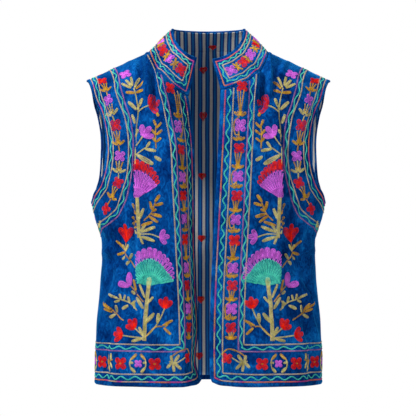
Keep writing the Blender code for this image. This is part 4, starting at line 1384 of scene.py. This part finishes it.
    for thread, *points in (
            ("cream", (119, 366), (119, 395), (119, 424), (116, 452), (119, 476), (123, 492)),
            ("cream", (118, 381), (108, 389), (101, 394)), ("cream", (118, 396), (112, 404), (107, 412)),
            ("cream", (98, 463), (107, 459), (115, 453)), ("gold", (86, 392), (87, 412), (86, 430)),
            ("gold", (105, 274), (95, 285), (87, 303)), ("cream", (80, 246), (94, 251), (110, 252)),
            ("gold", (123, 196), (131, 209), (138, 222), (137, 236))):
        vine(panel, thread, [at(*p) for p in points])
    tulip(panel, "red", at(98, 463), -72, 20, 52, 9.5)
    tulip(panel, "lilac", at(108, 411), -42, 21, 44, 9.0)
    tulip(panel, "lilac", at(80, 246), -84, 17, 50, 8.0)
    tulip(panel, "red", at(137, 237), 2, 31, 30, 11.0)
    flower(panel, "lilac", at(138, 516), 20, 20.0)

# the back repeats the hem and armhole bands, and its field is left plain
ARM_INNER_BACK = [(196, 268), (166, 305), (147, 350), (139, 400), (140, 450), (148, 500)]   # across, up
BACK_HEM_STEP, BACK_ARM_STEP = 34.0, 43.0       # from flower to flower
own = pieces["back_panel"]["lines"]
hem, seam, arm = own["hem"], own["seam"], own["arm"]
shoulder = np.array([(x, shoulder_up(x, 1)) for x in np.linspace(NECK_POINT, TIP, 60)])
seam_stop, shoulder_stop = inset(seam, SEAM_CLEAR), inset(shoulder[::-1], SEAM_CLEAR)
for side in (-1, 1):
    panel = "back_left" if side > 0 else "back_right"
    for _, from_hem, thread, swing, period in EDGE_ROWS:
        line = cut(inset(hem, from_hem), None, seam_stop)
        line = line[line[:, 0] >= 0]
        row(panel, thread, wave(line, swing, period) if swing else line)
    arm_inner = curve([(girth(ARM_FOOT, 1), ARM_FOOT)] + ARM_INNER_BACK
                      + [(ARM_HEAD, shoulder_up(ARM_HEAD, 1))])
    for from_arm, thread, swing, period in ARM_ROWS:
        line = cut(band_row(arm, arm_inner, from_arm), seam_stop, shoulder_stop)
        row(panel, thread, wave(line, swing, period) if swing else line)
    quarter = girth(38, 1)
    for k in range(7):
        place = np.array([(k + 0.5) * BACK_HEM_STEP, 38.5])
        if place[0] > quarter - 6:
            break
        flower(panel, "red" if k % 2 else "lilac", place, 4 * math.sin(k * 2.1 + side), 18.8, k % 2 == 1)
        foot = place + (BACK_HEM_STEP / 2, 0)
        if foot[0] > quarter - 8:
            continue
        for dx, dz in ((-6, 10), (0, 12), (6, 10), (-6, -9), (0, -12), (6, -9)):
            leaf(panel, "cream" if k % 2 else "gold", foot + (dx * 0.1, dz * 0.1), foot + (dx, dz), 3.2)
        vine(panel, "gold", [place + (8, 0), place + (26, 0)])
    band_line = cut(band_row(arm, arm_inner, 34.5), seam_stop, shoulder_stop)
    long_band = steps_of(band_line).sum()
    count = int(long_band / BACK_ARM_STEP)
    for k in range(count + 1):
        place, heading = spot_on(band_line, min((k * BACK_ARM_STEP + 10) / long_band, 0.97))
        flower(panel, "red" if k % 2 else "lilac", place, heading, 17.5)
        if k < count:
            ahead, _ = spot_on(band_line, min((k * BACK_ARM_STEP + 36) / long_band, 1))
            spray(panel, "cream" if k % 2 else "gold", place + (ahead - place) * 0.62, heading, 11.0)
            vine(panel, "gold", [place + (ahead - place) * 0.34, place + (ahead - place) * 0.6])

# the collar: closed rows all round its edge, and flowers along its middle
COLLAR_LONG = float(mean_run[-1])
COLLAR_ROWS = [  # from the ends, from the seam, from the top, thread, swing, period
    (6.0, 4.5, 7.0, "variegated", 0.0, 1.0),
    (11.0, 9.6, 11.4, "teal", 1.5, 17.0),
    (16.0, 14.5, 15.8, "beige", 0.0, 1.0),
]
for ends, low, high, thread, swing, period in COLLAR_ROWS:
    far, upper = COLLAR_LONG - ends, COLLAR_TALL - high
    box = [(ends, low), (far, low), (far, upper), (ends, upper)]
    for a, b in zip(box, box[1:] + box[:1]):
        line = spaced(np.array([a, b], float), np.linspace(0, 1, 300))
        row("collar", thread, wave(line, swing, period) if swing else line)
collar_middle = (COLLAR_ROWS[-1][1] + COLLAR_TALL - COLLAR_ROWS[-1][2]) / 2
COLLAR_IN, COLLAR_REPEAT = 25, 29       # end flowers this far in, and about this far apart
count = round((COLLAR_LONG - 2 * COLLAR_IN) / COLLAR_REPEAT)
collar_step = (COLLAR_LONG - 2 * COLLAR_IN) / count
for k in range(count + 1):
    place = np.array([COLLAR_IN + k * collar_step, collar_middle + 1.2 * math.sin(k * 2.0)])
    flower("collar", "lilac" if k % 2 else "red", place, 8 * math.sin(k * 1.9), 18.0)
    if k < count:
        foot = place + (collar_step / 2, 0)
        for dx, dz in ((-4, 7), (4, 8), (4, -7), (-4, -8)):
            leaf("collar", "gold", foot + (0, dz * 0.1), foot + (dx, dz), 2.8)
        vine("collar", "gold", [place + (7, 0), place + (collar_step - 7, 0)])


def on_collar(points):
    """Worn place for points of the collar, read off its own rows."""
    u = np.interp(points[:, 0], mean_run, np.arange(len(mean_run)))
    v = np.interp(points[:, 1] / COLLAR_TALL, LEVELS, np.arange(len(LEVELS)))
    i, j = (np.minimum(w.astype(int), n - 2) for w, n in ((v, len(LEVELS)), (u, len(mean_run))))
    s, t = (v - i)[:, None], (u - j)[:, None]
    return (band[i, j] * (1 - s) * (1 - t) + band[i + 1, j] * s * (1 - t)
            + band[i, j + 1] * (1 - s) * t + band[i + 1, j + 1] * s * t)


def links_along(lines, fewest=1):
    """The middles of the links worked along some lines, and the way each one points."""
    dots, ahead = [], []
    for line in lines:
        count = max(fewest, round(steps_of(line).sum() / LINK))
        marks = spaced(line, np.linspace(0, 1, 2 * count + 1))
        dots.append(marks[1::2])
        ahead.append(marks[2::2] - marks[:-2:2])
    dots, ahead = np.concatenate(dots), np.concatenate(ahead)
    return dots, ahead / (np.linalg.norm(ahead, axis=1)[:, None] + 1e-9)


THREAD_LIFT = 0.45      # links lie a little into the pile
place_of = {            # side of the cloth that is seen, and where a place on the pattern is worn
    "front_right": (-1, lambda p: cloth(-p[:, 0], p[:, 1], -1, -1)),
    "front_left": (1, lambda p: cloth(p[:, 0], p[:, 1], -1, 1)),
    "back_left": (-1, lambda p: cloth(p[:, 0], p[:, 1], 1)),
    "back_right": (1, lambda p: cloth(-p[:, 0], p[:, 1], 1)),
    "collar": (-1, on_collar),
}
thread_paints = {}
for number, ((panel, thread), rows) in enumerate(sorted(rows_of.items())):
    dots, ahead = links_along(rows)
    hand, lay = place_of[panel]
    aside = np.stack([-ahead[:, 1], ahead[:, 0]], axis=1)
    here = lay(dots)
    along = lay(dots + ahead * 0.4) - lay(dots - ahead * 0.4)
    sideways = lay(dots + aside * 0.4) - lay(dots - aside * 0.4)
    out = np.cross(along, sideways) * hand
    out /= np.linalg.norm(out, axis=1)[:, None] + 1e-12
    along /= np.linalg.norm(along, axis=1)[:, None] + 1e-12
    spots = (here + out * THREAD_LIFT - NAPE) * 0.001
    colour = "cream" if thread == "trunk" else thread
    if colour not in thread_paints:
        thread_paints[colour] = thread_paint(colour)
    stitch(f"chain_{panel}_{thread}", colour, spots, out, along, thread_paints[colour], number + 1)

# ---------------------------------------------------------------- hearts on the lining
# Small red hearts worked in a column down the middle of the back lining, and
# one on the collar's, before the lining went in.
HEARTS = [(-9, 532), (-9, 453), (-11, 349), (-12, 243), (-13, 138), (-16, 41)]      # across, height
HEART_SIZE = 13.0
t = np.linspace(0, 2 * math.pi, 49)
heart_high = 13 * np.cos(t) - 5 * np.cos(2 * t) - 2 * np.cos(3 * t) - np.cos(4 * t)
heart = np.stack([16 * np.sin(t) ** 3, heart_high], axis=1) * HEART_SIZE / 32
HEART_ROWS = 0.86, 0.5, 0.16        # sizes of its rows, from the outline in
inner_face = LINING_WALL[1] + 0.35


def lined(place_on, points):
    """Place and outward direction at points of a panel's pattern."""
    right_way = place_on(points + (0.4, 0)) - place_on(points - (0.4, 0))
    up_way = place_on(points + (0, 0.4)) - place_on(points - (0, 0.4))
    out = np.cross(up_way, right_way)
    return place_on(points), out / np.linalg.norm(out, axis=1)[:, None]


middles = {
    "back": [np.array(pattern(abs(across), height, 1)) * (np.sign(across), 1) for across, height in HEARTS],
    "collar": [np.array([mean_run[len(mean_run) // 2] + 7, COLLAR_TALL * 0.20])],
}
for name, place_on in (("back", lambda p: cloth(p[:, 0], p[:, 1], 1)), ("collar", on_collar)):
    dots, ahead = links_along([heart * size + middle for middle in middles[name] for size in HEART_ROWS], 2)
    here, out = lined(place_on, dots)
    along = place_on(dots + ahead * 0.4) - place_on(dots - ahead * 0.4)
    spots = (here - out * inner_face - NAPE) * 0.001
    stitch(f"chain_hearts_{name}", "red", spots, -out, along, thread_paints["red"], 90)

# ---------------------------------------------------------------- floor, light and camera
# A plain pale floor well below the hem, soft studio light from above and both
# sides, and a long lens square to the chest.
FLOOR_DROP, FLOOR_SIZE = 0.40, 1.1
HEM_HEIGHT = -0.5622
world = bpy.data.worlds.new("studio")
world.use_nodes = True
sky = world.node_tree
sky.nodes["Background"].inputs["Color"].default_value = (1, 1, 1, 1)
sky.nodes["Background"].inputs["Strength"].default_value = 0.43      # light on the cloth
wall = sky.nodes.new("ShaderNodeBackground")                         # white wall behind it
wall.inputs["Color"].default_value = (1, 1, 1, 1)
seen, pick = sky.nodes.new("ShaderNodeLightPath"), sky.nodes.new("ShaderNodeMixShader")
sky.links.new(seen.outputs["Is Camera Ray"], pick.inputs["Fac"])
sky.links.new(sky.nodes["Background"].outputs["Background"], pick.inputs[1])
sky.links.new(wall.outputs["Background"], pick.inputs[2])
sky.links.new(pick.outputs["Shader"], sky.nodes["World Output"].inputs["Surface"])
bpy.context.scene.world = world
bpy.context.scene.view_settings.view_transform = "Standard"

floor_mesh = bpy.data.meshes.new("floor")
half = FLOOR_SIZE / 2
level = HEM_HEIGHT - FLOOR_DROP
corners = [(x * half, y * half, level) for x, y in ((-1, -1), (1, -1), (1, 1), (-1, 1))]
floor_mesh.from_pydata(corners, [], [(0, 1, 2, 3)])
floor = bpy.data.objects.new("floor", floor_mesh)
bpy.context.scene.collection.objects.link(floor)
floor_paint = bpy.data.materials.new("floor_pale")
floor_paint.use_nodes = True
floor_paint.node_tree.nodes["Principled BSDF"].inputs["Base Color"].default_value = (0.9, 0.9, 0.9, 1)
floor_mesh.materials.append(floor_paint)

LIGHTS = [  # name, place, size, power
    ("key", (-1.6, -1.6, 1.0), 0.5, 64),
    ("fill", (1.3, -1.5, 0.1), 1.3, 9),
    ("top", (0.0, -0.2, 1.3), 0.8, 8),
    ("rear", (0.4, 1.8, 0.6), 1.2, 9),
]
CHEST = Vector((0, -0.07, -0.27))
for name, place, size, power in LIGHTS:
    lamp = bpy.data.lights.new(name, "AREA")
    lamp.shape = "DISK"
    lamp.size, lamp.energy = size, power
    lamp_object = bpy.data.objects.new(name, lamp)
    lamp_object.location = place
    aim = CHEST - Vector(place)
    lamp_object.rotation_euler = aim.to_track_quat("-Z", "Y").to_euler()
    bpy.context.scene.collection.objects.link(lamp_object)

lens = bpy.data.cameras.new("camera")
lens.sensor_width, lens.lens = 36.0, 231.8
camera = bpy.data.objects.new("camera", lens)
camera.location = (-0.0008, -4.5726, -0.268)
camera.rotation_euler = (math.pi / 2, 0, 0)
bpy.context.scene.collection.objects.link(camera)
bpy.context.scene.camera = camera
